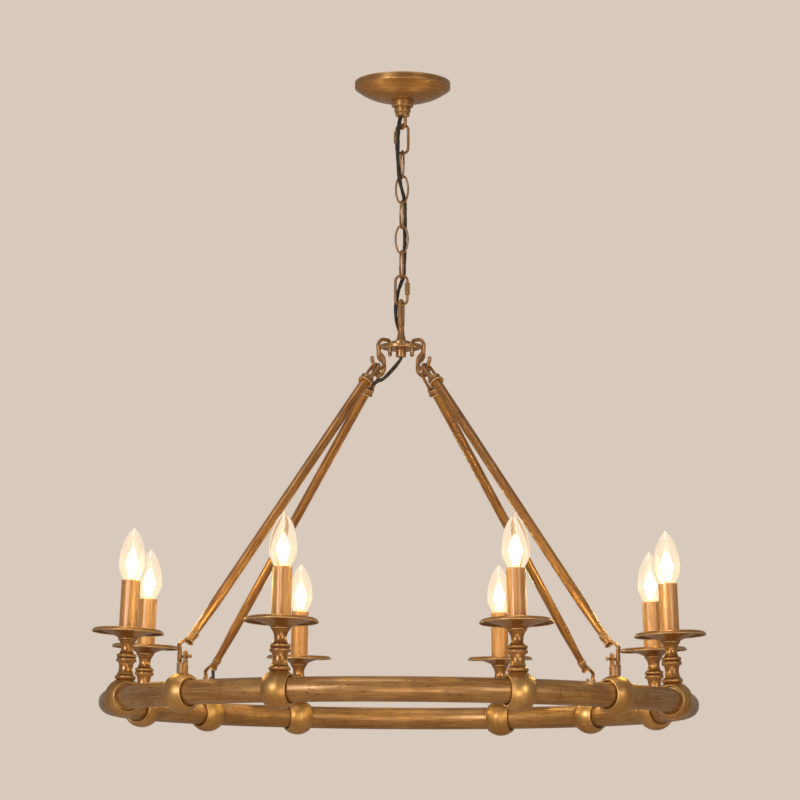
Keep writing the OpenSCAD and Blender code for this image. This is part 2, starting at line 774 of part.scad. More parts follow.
module wheel_joiners() color(zinc)
  for (start = [seam_angle, seam_angle + 180])
    difference() {
      tube_arc(start - 4, start + 4, tube_d / 2 - tube_wall - fit);
      tube_arc(start - 5, start + 5, tube_d / 2 - 2 * tube_wall - fit);
    }

// A ball collar on the tube: a ball with flat ends, a rounded lip and a gap round the tube.
module ball_collar(angle) {
  lip = 1.3;
  end_r = sqrt(pow(ball_d / 2, 2) - pow(ball_l / 2 - lip, 2));
  reach = asin(ball_l / wheel_r);
  lip_reach = asin((ball_l / 2 - 3) / wheel_r);
  difference() {
    on_wheel(angle)
      rotate([90, 0, 0])
        rotate_extrude() {
          intersection() {
            circle(d = ball_d, $fn = 128);
            translate([0, -ball_l / 2 + lip]) square([ball_d, ball_l - 2 * lip]);
          }
          for (side = [-1, 1])
            translate([end_r - lip, side * (ball_l / 2 - lip)]) circle(r = lip);
        }
    tube_arc(angle - reach, angle + reach, tube_d / 2 + fit);
    tube_arc(angle + lip_reach, angle + reach, tube_d / 2 + lip_gap);
    tube_arc(angle - reach, angle - lip_reach, tube_d / 2 + lip_gap);
  }
}

module candle_collars() color(gold)
  difference() {
    for (i = [0 : lamp_count - 1])
      ball_collar(lamp_angle(i));
    lamp_bores(tube_thread_d + 2 * fit);
  }

module rod_collars() color(gold)
  difference() {
    for (i = [0 : side_count - 1])
      ball_collar(rod_place(i));
    post_bores(6 + 2 * fit);
    cord_bore();
  }

// A post saddled on a rod collar, with two ears for the hinge pin.
module hinge_post() {
  post_top = ball_d / 2 + post_h - 0.6;
  difference() {
    union() {
      upright(0, ball_d / 2 - 3, post_top, post_d);
      for (side = [-1, 1])
        translate([0, side * (ear_gap + ear_t) / 2, 0])
          ear(post_top);
    }
    sphere(d = ball_d + 2 * fit, $fn = 128);
    translate([0, 20, pin_rise])
      rotate([90, 0, 0])
        cylinder(d = pin_d + 2 * fit, h = 40);
  }
  upright(0, tube_d / 2 - 4, ball_d / 2 + 1, 6);
}

module ear(post_top)
  translate([0, ear_t / 2, 0])
    rotate([90, 0, 0])
      linear_extrude(ear_t)
        stroke([0, post_top], [0, ear_top - ear_w / 2], ear_w);

module hinge_posts() color(bronze)
  for (i = [0 : side_count - 1])
    on_wheel(rod_place(i))
      hinge_post();

// Each pin has a small head and stands out further on the side that is seen.
module hinge_pins() color(bronze)
  for (i = [0 : side_count - 1]) {
    front = rod_place(i) < 90 || rod_place(i) > 270 ? -1 : 1;
    round_at(rod_place(i)) {
      across_pin(pin_out + 9, pin_d, front * (pin_out - 9) / 2);
      across_pin(1.6, pin_d + 1.2, front * (pin_out - 0.8));
    }
  }

// ---- Candles ----

module candle_nipples() color(zinc)
  for (i = [0 : lamp_count - 1])
    at_lamp(i)
      pipe(tube_d / 2 - 5, thread_top - 0.5, tube_thread_d, thread_bore_d);

// A turned pillar: foot bead, vase, double bead, long neck and a disc on top.
module candle_pillars() color(bronze)
  for (i = [0 : lamp_count - 1])
    at_lamp(i)
      difference() {
        rotate_extrude() pillar_profile();
        sphere(d = ball_d + 2 * fit, $fn = 128);
        upright(0, 0, pillar_top + 1, tube_thread_d + 2 * fit);
      }

module pillar_profile() {
  foot_z = ball_d / 2 + 0.5;
  bead_z = ball_d / 2 + 24.7;
  bead_2_z = bead_z + 5.9;
  disc_h = 2.6;
  disc_z = pillar_top - disc_h;
  neck_z = bead_2_z + 10.9;
  vase_r = 20;
  scotia_r = 16;
  translate([0, foot_z - 6]) square([pillar_r - 3.1, 9.1]);
  translate([pillar_r - 3.1, foot_z]) circle(r = 3.1);
  difference() {
    translate([0, foot_z]) square([pillar_r - 2, bead_z - foot_z]);
    translate([neck_r + 1.2 + vase_r, foot_z + 13.5]) circle(r = vase_r, $fn = 96);
  }
  translate([0, bead_z - 2.4]) square([pillar_r - 3.8, 10]);
  translate([pillar_r - 3.8, bead_z]) circle(r = 3.3);
  translate([pillar_r - 3.5, bead_2_z]) circle(r = 2.7);
  difference() {
    translate([0, bead_2_z]) square([pillar_r - 1.9, disc_z + 0.5 - bead_2_z]);
    translate([neck_r + scotia_r, neck_z]) circle(r = scotia_r, $fn = 96);
  }
  translate([0, disc_z]) square([pillar_r - 2.6, disc_h]);
  translate([pillar_r - 2.6, disc_z + disc_h / 2]) circle(d = disc_h);
}

// A drip pan: a shallow dish whose rim rolls over and down to a beaded edge.
module drip_pans() color(bronze)
  for (i = [0 : lamp_count - 1])
    at_lamp(i)
      difference() {
        rotate_extrude() pan_profile();
        upright(0, pillar_top - 1, pan_floor + 1, tube_thread_d + 2 * fit);
      }

pan_seat_r = 13.4;
pan_crest_r = pan_d / 2 - 4.6;
pan_steps = 8;

// Height of the pan's underside at radius r: it climbs steeply first, then flattens.
function pan_rise(r) =
  let (out = (r - pan_seat_r) / (pan_crest_r - pan_seat_r))
  pillar_top + (pan_h - pan_t) * pow(out, 0.72);

// Height of the rolled rim's underside, a quarter turn down from the crest.
function rim_rise(turn) = pillar_top + pan_h - pan_t - 3.6 * (1 - cos(turn));

module pan_profile() {
  dish = [for (k = [0 : pan_steps])
    let (r = pan_seat_r + (pan_crest_r - pan_seat_r) * pow(k / pan_steps, 1.3)) [r, pan_rise(r)]];
  rim = [for (turn = [20 : 20 : 80]) [pan_crest_r + 4 * sin(turn), rim_rise(turn)]];
  under = concat([[0, pillar_top]], dish, rim);
  count = len(under);
  upper = [for (k = [count - 1 : -1 : 0]) under[k] + [0, pan_t]];
  polygon(concat(under, upper));
  edge = under[count - 1] + [0.1, pan_t / 2];
  translate(edge) circle(r = 1.1, $fn = 32);
}

module candle_sleeves() color(bronze)
  for (i = [0 : lamp_count - 1])
    at_lamp(i)
      pipe(pan_floor, sleeve_top, sleeve_d, sleeve_d - 2 * sleeve_wall);

// A lamp socket: a boss on the threaded tube and a deep well for the bulb's base.
module lamp_sockets() color([0.9, 0.88, 0.82])
  for (i = [0 : lamp_count - 1])
    at_lamp(i)
      difference() {
        union() {
          upright(0, socket_bottom, socket_bottom + 12, socket_r * 1.3);
          upright(0, socket_bottom + 11, socket_top, socket_r * 2);
        }
        upright(0, socket_bottom - 1, thread_top, tube_thread_d + 2 * fit);
        upright(0, thread_top - 1, thread_top + 8, thread_bore_d);
        upright(0, base_seat - seat_gap, socket_top + 1, base_d + 2 * run_gap);
      }

// ---- Bulbs ----

bulb_r = bulb_d / 2;
bulb_neck_r = base_d / 2 + 0.2;
bulb_neck_h = -8;
bulb_steps = 12;

// Share of the widest radius at height h under the widest place.
function bulb_swell(h) = cos(90 * (bulb_wide_h - h) / (bulb_wide_h - bulb_neck_h));

// The power that lets the glass leave the sleeve's mouth with a small gap all round.
mouth_r = sleeve_d / 2 - sleeve_wall - 0.8;
swell_power = ln((mouth_r - bulb_neck_r) / (bulb_r - bulb_neck_r)) / ln(bulb_swell(0));

// Radius of the glass at height h over the sleeve: a candle flame's outline.
function flame(h) = h > bulb_wide_h
  ? bulb_r * pow(1 - pow((h - bulb_wide_h) / (bulb_h - bulb_wide_h), 2.2), 0.8)
  : bulb_neck_r + (bulb_r - bulb_neck_r) * pow(max(bulb_swell(h), 0), swell_power);

// Half the outline of the glass, drawn in by wall, from its neck to its tip.
function flame_line(wall) = concat(
  [for (k = [0 : bulb_steps])
    let (h = bulb_neck_h + (bulb_wide_h - bulb_neck_h) * k / bulb_steps)
    [max(flame(h), bulb_neck_r) - wall, h]],
  [for (k = [1 : bulb_steps])
    let (h = bulb_wide_h + (bulb_h - wall - 0.6 - bulb_wide_h) * sin(90 * k / bulb_steps))
    [max(flame(h) - wall, 0.4), h]]
);

module bulb_glass(i) color(glass)
  at_lamp(i - 1)
    translate([0, 0, sleeve_top])
      difference() {
        rotate_extrude() {
          polygon(concat(flame_line(0), [[0, bulb_h - 0.6], [0, bulb_neck_h]]));
          translate([0, bulb_h - 3]) square([0.9, 3]);
        }
        rotate_extrude()
          polygon(concat([[0, bulb_neck_h - 1], [bulb_neck_r - glass_wall, bulb_neck_h - 1]],
            flame_line(glass_wall), [[0, bulb_h - glass_wall - 0.6]]));
      }

// A bulb's base: screw shell, contact, glass stem and two upright filaments.
module bulb_base(i) color(zinc)
  at_lamp(i - 1) {
    shell_top = socket_top + 0.3;
    shell_low = base_seat + tip_h + seat_gap;
    thread_pitch = 2.8;
    filament_h = 30;
    upright(0, shell_low, shell_top, base_d - 1.6);
    for (z = [shell_low + 2 : thread_pitch : shell_top - 3])
      translate([0, 0, z])
        rotate_extrude()
          translate([base_d / 2 - 1.6, 0]) circle(d = 1.6, $fn = 24);
    upright(0, shell_top - 2, shell_top, base_d);
    translate([0, 0, base_seat + seat_gap])
      cylinder(d1 = 5, d2 = 9.6, h = tip_h);
    translate([0, 0, shell_top])
      cylinder(d1 = 7, d2 = 3, h = 12);
    upright(0, shell_top + 11, shell_top + 14, 3);
    for (side = [-1, 1])
      translate([0, 0, shell_top + 12.4])
        rotate([0, side * 9, 0])
          upright(0, 0, filament_h, 1.6);
  }

// ---- Cord ----

// A point a share t of the way from q to r, on a smooth curve that also heeds p and s.
function smooth(p, q, r, s, t) = 0.5 * (
  2 * q + (r - p) * t + (2 * p - 5 * q + 4 * r - s) * t * t
  + (3 * q - p - 3 * r + s) * t * t * t);

// The route with extra points, so that its bends are smooth.
function smooth_route(route, steps) = concat(
  [for (i = [0 : len(route) - 2], k = [0 : steps - 1])
    smooth(route[max(i - 1, 0)], route[i], route[i + 1],
      route[min(i + 2, len(route) - 1)], k / steps)],
  [route[len(route) - 1]]
);

function unit(v) = v / norm(v);

// The direction of the line at point i.
function heading(line, i) =
  unit(line[min(i + 1, len(line) - 1)] - line[max(i - 1, 0)]);

// A side direction carried along the line without twisting.
function carried(side, ahead) = unit(side - (side * ahead) * ahead);
function sides_along(line, i = 0, side = [1, 0, 0]) =
  let (here = carried(side, heading(line, i)))
  i == len(line) - 1 ? [here] : concat([here], sides_along(line, i + 1, here));

// A tube swept along a line: rings of points joined by triangles, with flat ends.
module swept_tube(line, d, ring_sides) {
  side = sides_along(line);
  last = len(line) - 1;
  points = [for (i = [0 : last], k = [0 : ring_sides - 1])
    let (up = cross(heading(line, i), side[i]), turn = 360 * k / ring_sides)
    line[i] + d / 2 * (cos(turn) * side[i] + sin(turn) * up)];
  walls = [for (i = [0 : last - 1], k = [0 : ring_sides - 1])
    let (next = (k + 1) % ring_sides, a = i * ring_sides, b = a + ring_sides)
    each [[a + k, b + k, b + next], [a + k, b + next, a + next]]];
  start_cap = [for (k = [1 : ring_sides - 2]) [0, k, k + 1]];
  end_cap = [for (k = [1 : ring_sides - 2])
    let (a = last * ring_sides) [a, a + k + 1, a + k]];
  polyhedron(points, concat(walls, start_cap, end_cap));
}

module upper_cord() color(black)
  swept_tube(smooth_route(upper_route, 2), cord_d, 10);

module lower_cord() color(black)
  round_at(rod_place(1))
    swept_tube(smooth_route([for (p = lower_route) [p[0], 0, p[1]]], 2), cord_d, 10);

mounting_strap();
ground_screw();
ceiling_nipple();
nipple_nuts();
stem_loop();
canopy();
canopy_ring_nut();
upper_quick_link();
upper_link_nut();
chain_link(1);  // chain_link_1
chain_link(2);  // chain_link_2
chain_link(3);  // chain_link_3
chain_link(4);  // chain_link_4
chain_link(5);  // chain_link_5
lower_quick_link();
lower_link_nut();
hub_loop();
hub_nipple();
hub_plate();
hub_nut();
s_hooks();
rod(0);  // rod_rear_right
rod(1);  // rod_rear_left
rod(2);  // rod_front_left
rod(3);  // rod_front_right
rod_bail(0);  // rod_bail_rear_right
rod_bail(1);  // rod_bail_rear_left
rod_bail(2);  // rod_bail_front_left
rod_bail(3);  // rod_bail_front_right
wheel_half(seam_angle);  // wheel_half_left
wheel_half(seam_angle + 180);  // wheel_half_right
wheel_joiners();
candle_collars();
rod_collars();
hinge_posts();
hinge_pins();
candle_nipples();
candle_pillars();
drip_pans();
candle_sleeves();
lamp_sockets();
bulb_glass(1);  // bulb_glass_1
bulb_glass(2);  // bulb_glass_2
bulb_glass(3);  // bulb_glass_3
bulb_glass(4);  // bulb_glass_4
bulb_glass(5);  // bulb_glass_5
bulb_glass(6);  // bulb_glass_6
bulb_glass(7);  // bulb_glass_7
bulb_glass(8);  // bulb_glass_8
bulb_base(1);  // bulb_base_1
bulb_base(2);  // bulb_base_2
bulb_base(3);  // bulb_base_3
bulb_base(4);  // bulb_base_4
bulb_base(5);  // bulb_base_5
bulb_base(6);  // bulb_base_6
bulb_base(7);  // bulb_base_7
bulb_base(8);  // bulb_base_8
upper_cord();
lower_cord();
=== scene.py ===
"""Wagon wheel chandelier: finished pieces, cords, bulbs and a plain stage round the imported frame."""

import math

import bmesh
import bpy
import numpy as np
from bpy.props import FloatProperty, FloatVectorProperty, IntProperty, PointerProperty
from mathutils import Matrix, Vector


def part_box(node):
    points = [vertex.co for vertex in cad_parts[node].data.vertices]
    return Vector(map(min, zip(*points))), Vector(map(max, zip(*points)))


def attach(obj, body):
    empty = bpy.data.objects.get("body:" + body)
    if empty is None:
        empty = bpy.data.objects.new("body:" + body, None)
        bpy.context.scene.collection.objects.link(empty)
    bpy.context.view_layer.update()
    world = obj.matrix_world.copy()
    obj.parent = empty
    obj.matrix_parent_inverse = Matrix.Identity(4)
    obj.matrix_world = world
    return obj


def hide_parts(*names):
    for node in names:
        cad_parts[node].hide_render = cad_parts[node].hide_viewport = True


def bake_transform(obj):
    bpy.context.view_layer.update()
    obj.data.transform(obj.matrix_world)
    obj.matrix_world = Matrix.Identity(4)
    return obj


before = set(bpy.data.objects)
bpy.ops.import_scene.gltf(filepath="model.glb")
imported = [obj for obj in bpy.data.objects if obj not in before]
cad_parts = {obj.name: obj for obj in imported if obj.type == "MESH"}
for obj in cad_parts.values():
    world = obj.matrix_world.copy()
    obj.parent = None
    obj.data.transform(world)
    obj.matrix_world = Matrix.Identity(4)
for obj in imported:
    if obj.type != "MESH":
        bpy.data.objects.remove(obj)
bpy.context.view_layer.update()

bl_info = {
    "name": "Wagon Wheel Chandelier",
    "version": (1, 0, 0),
    "blender": (4, 5, 0),
    "location": "View3D > Sidebar > Chandelier",
    "description": "Builds the finished pieces of a wagon wheel chandelier on its frame",
    "category": "Add Mesh",
}

SIDE_NAMES = ("rear_right", "rear_left", "front_left", "front_right")
LINKS = range(1, 6)
LAMP_ANGLES = [22.5 + 45 * i for i in range(8)]
SIDE_ANGLES = [45 + 90 * i for i in range(4)]
CHAIN_BODIES = ["upper_quick_link", *[f"chain_link_{i}" for i in LINKS], "lower_quick_link"]
# How far the grain is squeezed along the lines that a finish was rubbed in.
STRETCH = 0.05
# Wall of a rod's tube, the angle below level at which a rod pulls its hook, and a bail's gap to its seat.
ROD_WALL, PULL_ANGLE, SEAT_GAP = 1.8, 50.0, 0.3
# Height of a hinge pin over its post, and the step from the pin out and up to the foot of the rod's axis.
PIN_RISE, FOOT_STEP = 7.2, (-18, 29)


def span(node):
    """Lowest and highest corner of a frame node, in millimetres."""
    low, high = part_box(node)
    return np.array(low) * 1000, np.array(high) * 1000


# ---- Sizes and colours that a user would change ----

def length(label, text, default):
    """A length property. Its default is given in millimetres and kept in metres."""
    return FloatProperty(
        name=label, description=text, default=default / 1000, min=0, subtype="DISTANCE", unit="LENGTH"
    )


def angle(label, text, default):
    """An angle property. Its default is given in degrees."""
    return FloatProperty(
        name=label, description=text, default=math.radians(default), subtype="ANGLE", unit="ROTATION"
    )


def share(label, text, default):
    """A property from 0 to 1."""
    return FloatProperty(name=label, description=text, default=default, min=0, max=1, subtype="FACTOR")


def colour(label, text, default):
    """A linear colour property."""
    return FloatVectorProperty(
        name=label, description=text, default=default, size=3, min=0, max=1, subtype="COLOR"
    )


class CeilingSizes(bpy.types.PropertyGroup):
    canopy_width: length("Canopy width", "Outer diameter of the canopy", 140)
    canopy_rim: length("Canopy rim", "Height of the canopy's upright rim", 9)
    canopy_dish: length("Canopy dish", "Depth of the canopy's domed face", 19.2)
    canopy_wall: length("Canopy wall", "Thickness of the canopy's sheet", 1.2)
    nut_width: length("Ring nut width", "Outer diameter of the ring nut under the canopy", 32)
    neck_width: length("Neck width", "Diameter of the stem's neck and bell", 24.8)
    bell_height: length("Bell height", "Height of the bell under the ring nut", 9.6)
    rim_width: length("Rim width", "Diameter of the thin rim under the bell", 21.4)
    loop_wire: length("Loop thickness", "Thickness of the stem's loop", 5)
    loop_radius: length("Loop radius", "Half width of the loop, to the middle of its wire", 8.4)
    loop_turn: angle("Loop turn", "Turn of the loop about the stem", -60)


class ChainSizes(bpy.types.PropertyGroup):
    link_length: length("Link length", "Overall length of a chain link", 43.4)
    link_width: length("Link width", "Overall width of a chain link", 20.8)
    link_wire: length("Link wire", "Wire of a chain link", 3)
    end_radius: length("End radius", "Bend radius of a link's ends", 6.2)
    quick_length: length("Quick link length", "Overall length of a quick link", 47.3)
    quick_width: length("Quick link width", "Overall width of a quick link", 21.3)
    quick_wire: length("Quick link wire", "Wire of a quick link", 4)
    nut_width: length("Nut width", "Width of a quick link's nut across its corners", 8.6)
    nut_length: length("Nut length", "Length of a quick link's nut", 16.6)
    twist: angle("Twist", "Turn between one link and the next", 75)


class HubSizes(bpy.types.PropertyGroup):
    plate_width: length("Plate width", "Diameter of the hub plate", 56)
    loop_wire: length("Loop thickness", "Thickness of the hub's loop", 6.4)
    loop_radius: length("Loop radius", "Half width of the loop, to the middle of its wire", 6.8)
    loop_height: length("Loop opening", "Clear height inside the hub's loop", 32)
    waist_width: length("Waist width", "Diameter of the hub's waist", 8.6)
    foot_width: length("Foot width", "Diameter of the hub's foot disc", 27.4)
    nut_width: length("Nut width", "Diameter of the nut under the plate", 15)
    hook_circle: length("Hook circle", "Radius of the circle of hook holes", 22.8)
    hook_wire: length("Hook wire", "Wire of an S-hook", 5.4)
    arch_radius: length("Arch radius", "Radius of a hook's upper bend", 12)
    seat_radius: length("Seat radius", "Radius of a hook's lower bend", 11)
    tip_radius: length("Tip radius", "Radius of the wide bend at a hook's tip", 18)
    hook_drop: length("Hook drop", "Fall from a hook's upper bend to its lower one", 21.1)
    hook_reach: length("Hook reach", "Step outwards from a hook's upper bend to its lower one", 10.2)
    hook_tail: length("Hook tail", "How far a hook's tail hangs out under the plate", 6.2)


class RodSizes(bpy.types.PropertyGroup):
    rod_width: length("Rod width", "Diameter of a rod", 13.6)
    tip_width: length("Tip width", "Diameter of a rod at the small end of its taper", 8.8)
    taper: length("Taper length", "Length of the taper at a rod's lower end", 62)
    ferrule_width: length("Ferrule width", "Diameter of the ferrule at the top of a rod", 19.4)
    ferrule_height: length("Ferrule height", "Height of the ferrule", 10.4)
    bail_wire: length("Bail wire", "Wire of the bail on a ferrule", 4.2)
    bail_radius: length("Bail radius", "Half width of a bail, to the middle of its wire", 8.4)
    bail_height: length("Bail height", "Height of a bail above its ferrule", 28)
    post_width: length("Post width", "Diameter of the post under a rod's foot", 15.5)
    post_height: length("Post height", "Height of the post over its collar", 14)
    pin_width: length("Pin width", "Diameter of a hinge pin", 4)
    pin_reach: length("Pin reach", "How far a pin stands out in front of its rod", 16.5)


class WheelSizes(bpy.types.PropertyGroup):
    wheel_width: length("Wheel width", "Diameter of the wheel, to the middle of its tube", 820)
    tube_width: length("Tube width", "Outer diameter of the wheel's tube", 33.4)
    tube_wall: length("Tube wall", "Wall of the wheel's tube", 1.6)
    seam: angle("Seam", "Where the first joint of the two halves lies", 120)
    ball_width: length("Ball width", "Diameter of the ball collars", 54)
    ball_length: length("Ball length", "Length of a ball collar along the tube", 35)
    lip_gap: length("Lip gap", "Width of the gap between a collar's lip and the tube", 1.8)


class CandleSizes(bpy.types.PropertyGroup):
    lean: angle("Lean", "Lean of each candle towards the middle", 2.6)
    pillar_height: length("Pillar height", "Height of the pan's seat over the tube's middle", 82)
    pillar_radius: length("Pillar radius", "Largest radius of the turned pillar", 14.7)
    neck_radius: length("Neck radius", "Radius of the pillar's narrow neck", 8.4)
    pan_width: length("Pan width", "Diameter of the drip pan", 98)
    pan_height: length("Pan height", "Height of the pan's crest over its seat", 12.4)
    pan_sheet: length("Pan sheet", "Thickness of the pan's sheet", 1.3)
    sleeve_width: length("Sleeve width", "Outer diameter of the candle sleeve", 26.4)
    sleeve_length: length("Sleeve length", "Length of the candle sleeve", 79)
    sleeve_wall: length("Sleeve wall", "Wall of the candle sleeve", 1.1)


class BulbSizes(bpy.types.PropertyGroup):
    width: length("Glass width", "Diameter of the bulb's glass", 38.5)
    height: length("Glass height", "Height of the glass above the sleeve's mouth", 74)
    wide_at: length("Widest at", "Height of the glass's widest place above the mouth", 23)
    glass: length("Glass wall", "Wall of the glass", 0.9)
    base_width: length("Base width", "Diameter of the screw base", 13.8)
    pitch: length("Thread pitch", "Pitch of the base's screw thread", 2.8)
    filaments: IntProperty(name="Filaments", description="Lit wires in each bulb", default=6, min=1, max=12)
    lamp_power: FloatProperty(
        name="Lamp power", description="Light that each bulb gives", default=0.85, min=0, unit="POWER"
    )


class CordSizes(bpy.types.PropertyGroup):
    width: length("Cord width", "Diameter of the cord", 5.8)
    lay: length("Lay", "Length of one turn of the two strands", 76)
    groove: share("Groove", "Depth of the groove between the strands", 0.3)


class FinishColours(bpy.types.PropertyGroup):
    tube: colour("Wheel tube", "Middle tone of the wheel's tube", (0.36, 0.178, 0.052))
    rod: colour("Rods", "Middle tone of the rods", (0.325, 0.142, 0.037))
    wire: colour("Chain and hooks", "Middle tone of the chain, hooks and hub", (0.32, 0.155, 0.055))
    turned: colour("Turned pieces", "Middle tone of the pillars and drip pans", (0.38, 0.175, 0.045))
    canopy: colour("Canopy", "Middle tone of the canopy and its stem", (0.39, 0.19, 0.055))
    collar: colour("Collars", "Middle tone of the ball collars", (0.56, 0.31, 0.10))
    sleeve: colour("Sleeves", "Middle tone of the candle sleeves", (0.58, 0.28, 0.080))
    # Dark brown of the pores, which the bronze finishes also lay in tight grooves.
    shade: colour("Shade", "Brown that is left in grooves and grain", (0.075, 0.030, 0.009))
    crest: colour("Crest", "Rubbed metal on crests", (0.80, 0.53, 0.24))
    cord: colour("Cord", "Colour of the cord", (0.022, 0.018, 0.015))
    glow: colour("Glow", "Colour of the light in the bulbs", (1.0, 0.80, 0.50))
    backdrop: colour("Backdrop", "Colour of the stage", (0.685, 0.585, 0.50))


class ChandelierSettings(bpy.types.PropertyGroup):
    ceiling: PointerProperty(type=CeilingSizes, name="Ceiling", description="Canopy and stem")
    chain: PointerProperty(type=ChainSizes, name="Chain", description="Links and quick links")
    hub: PointerProperty(type=HubSizes, name="Hub", description="Hub, plate and hooks")
    rods: PointerProperty(type=RodSizes, name="Rods", description="Rods, bails and hinge posts")
    wheel: PointerProperty(type=WheelSizes, name="Wheel", description="Tube and ball collars")
    candles: PointerProperty(type=CandleSizes, name="Candles", description="Pillars, pans and sleeves")
    bulbs: PointerProperty(type=BulbSizes, name="Bulbs", description="Glass, base and filaments")
    cords: PointerProperty(type=CordSizes, name="Cords", description="Two-strand cord")
    colours: PointerProperty(type=FinishColours, name="Colours", description="Finishes and stage")


def own_properties(settings):
    """The properties that a group adds to the two that every group has."""
    return [prop for prop in settings.bl_rna.properties if prop.identifier not in ("rna_type", "name")]


def sizes(group):
    """The lengths of a group in millimetres, its angles in degrees and its other numbers as they are."""
    settings = getattr(bpy.context.scene.chandelier, group)
    found = {}
    for prop in own_properties(settings):
        value = getattr(settings, prop.identifier)
        if prop.subtype == "DISTANCE":
            value *= 1000
        elif prop.subtype == "ANGLE":
            value = math.degrees(value)
        found[prop.identifier] = value
    return type("Sizes", (), found)


# ---- Surfaces ----

class Surface:
    """Closed surfaces of one piece. Each point has its grain, a place that is squeezed along the lines that
    the finish was rubbed in, and its relief, which is above 0 on crests and below 0 in grooves."""

    def __init__(self):
        self.points, self.faces, self.grain, self.relief, self.total = [], [], [], [], 0

    def add(self, points, grain, relief=0.0, loop=False):
        """A grid of rows and columns. The columns close on themselves, and the rows too where loop is set.
        Each quad joins (i, j), (i + 1, j), (i + 1, j + 1) and (i, j + 1), turned so that the volume inside is
        positive."""
        rows, cols = points.shape[:2]
        i = np.arange(rows if loop else rows - 1)[:, None]
        j = np.arange(cols)[None, :]
        ahead, beside = (i + 1) % rows, (j + 1) % cols
        corners = (i * cols + j, ahead * cols + j, ahead * cols + beside, i * cols + beside)
        quads = np.stack(np.broadcast_arrays(*corners), -1).reshape(-1, 4)
        flat = points.reshape(-1, 3)
        p, q, r, s = (flat[quads[:, k]] - flat.mean(0) for k in range(4))
        if (p * np.cross(q, r) + p * np.cross(r, s)).sum() < 0:
            quads = quads[:, ::-1]
        self.points.append(flat)
        self.faces.append(quads + self.total)
        self.grain.append(np.broadcast_to(grain, points.shape).reshape(-1, 3))
        relief = np.asarray(relief, float)
        if relief.ndim == 1:
            relief = relief[:, None]
        self.relief.append(np.broadcast_to(relief, (rows, cols)).reshape(-1))
        self.total += len(flat)
        return self

    def copies(self, *matrices):
        """The same surfaces at each place. Each copy's grain is shifted, so that no two look alike."""
        made = Surface()
        for count, matrix in enumerate(matrices):
            for points, faces, grain, relief in zip(self.points, self.faces, self.grain, self.relief):
                made.points.append(points @ matrix[:3, :3].T + matrix[:3, 3])
                made.faces.append(faces + made.total)
                made.grain.append(grain + 37.0 * count)
                made.relief.append(relief)
            made.total += self.total
        return made

    def join(self, other):
        """Adds another piece's surfaces to this one."""
        self.points += other.points
        self.faces += [faces + self.total for faces in other.faces]
        self.grain += other.grain
        self.relief += other.relief
        self.total += other.total
        return self

    def mesh(self, name, finish, crease=38.0):
        """Puts the surfaces into a mesh in metres, merges their poles, and smooths all but sharp edges."""
        points = np.concatenate(self.points) / 1000
        mesh = bpy.data.meshes.new(name)
        mesh.from_pydata(points.tolist(), [], np.concatenate(self.faces).tolist())
        mesh.attributes.new("grain", "FLOAT_VECTOR", "POINT").data.foreach_set(
            "vector", np.concatenate(self.grain).astype(np.float32).ravel())
        mesh.attributes.new("relief", "FLOAT", "POINT").data.foreach_set(
            "value", np.concatenate(self.relief).astype(np.float32))
        work = bmesh.new()
        work.from_mesh(mesh)
        bmesh.ops.remove_doubles(work, verts=work.verts, dist=2e-7)
        loose = [v for v in work.verts if not v.link_faces]
        bmesh.ops.delete(work, geom=loose, context="VERTS")
        work.to_mesh(mesh)
        work.free()
        mesh.shade_smooth()
        mesh.set_sharp_from_angle(angle=math.radians(crease))
        mesh.materials.append(finish)
        piece = bpy.data.objects.new(name, mesh)
        bpy.context.scene.collection.objects.link(piece)
        return piece


def place(surface, name, finish, body, slot, *nodes):
    """Makes a surface a piece that rides on a body, has a finish and stands for the frame nodes that are
    given."""
    piece = surface.mesh(name, finish)
    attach(piece, body)
    if nodes:
        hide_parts(*nodes)
    return piece


def shift(x=0.0, y=0.0, z=0.0):
    """Matrix that moves a shape."""
    matrix = np.eye(4)
    matrix[:3, 3] = x, y, z
    return matrix


def turn(axis, degrees):
    """Matrix that turns a shape about the X, Y or Z axis by the right-hand rule."""
    c, s = math.cos(math.radians(degrees)), math.sin(math.radians(degrees))
    a, b = [(1, 2), (2, 0), (0, 1)]["XYZ".index(axis)]
    matrix = np.eye(4)
    matrix[a, a], matrix[a, b], matrix[b, a], matrix[b, b] = c, -s, s, c
    return matrix


def circle(count):
    """The angles of a full circle's columns, as one row."""
    return np.linspace(0, 2 * np.pi, count, endpoint=False)[None, :]


def turned(radius, height, phi):
    """Points at a radius and a height, turned about the Z axis by the angles."""
    return np.stack([radius * np.cos(phi), radius * np.sin(phi), height + 0 * phi], -1)


def distances(line):
    """How far along a line each of its points lies."""
    return np.concatenate([[0], np.cumsum(np.linalg.norm(np.diff(line, axis=0), axis=1))])


def square_to(path, side, loop=False):
    """Two directions at each point of a path: the one nearest to side that is square to the path, and the one
    that is square to both."""
    step = np.roll(path, -1, 0) - np.roll(path, 1, 0) if loop else np.gradient(path, axis=0)
    along = step / np.linalg.norm(step, axis=1, keepdims=True)
    side = np.broadcast_to(np.asarray(side, float), path.shape)
    side = side - (side * along).sum(1, keepdims=True) * along
    side = side / np.linalg.norm(side, axis=1, keepdims=True)
    return side, np.cross(along, side)


def arc(x, z, r, start, end, count=9):
    """Points on a circle about (x, z), from one angle to another in degrees."""
    t = np.radians(np.linspace(start, end, count))
    return np.stack([x + r * np.cos(t), z + r * np.sin(t)], 1)


def outline(*parts):
    """One line from points and arcs, without the doubled points where they meet."""
    line = np.vstack([np.atleast_2d(np.asarray(part, float)) for part in parts])
    kept = np.concatenate([[True], np.linalg.norm(np.diff(line, axis=0), axis=1) > 1e-4])
    return line[kept]


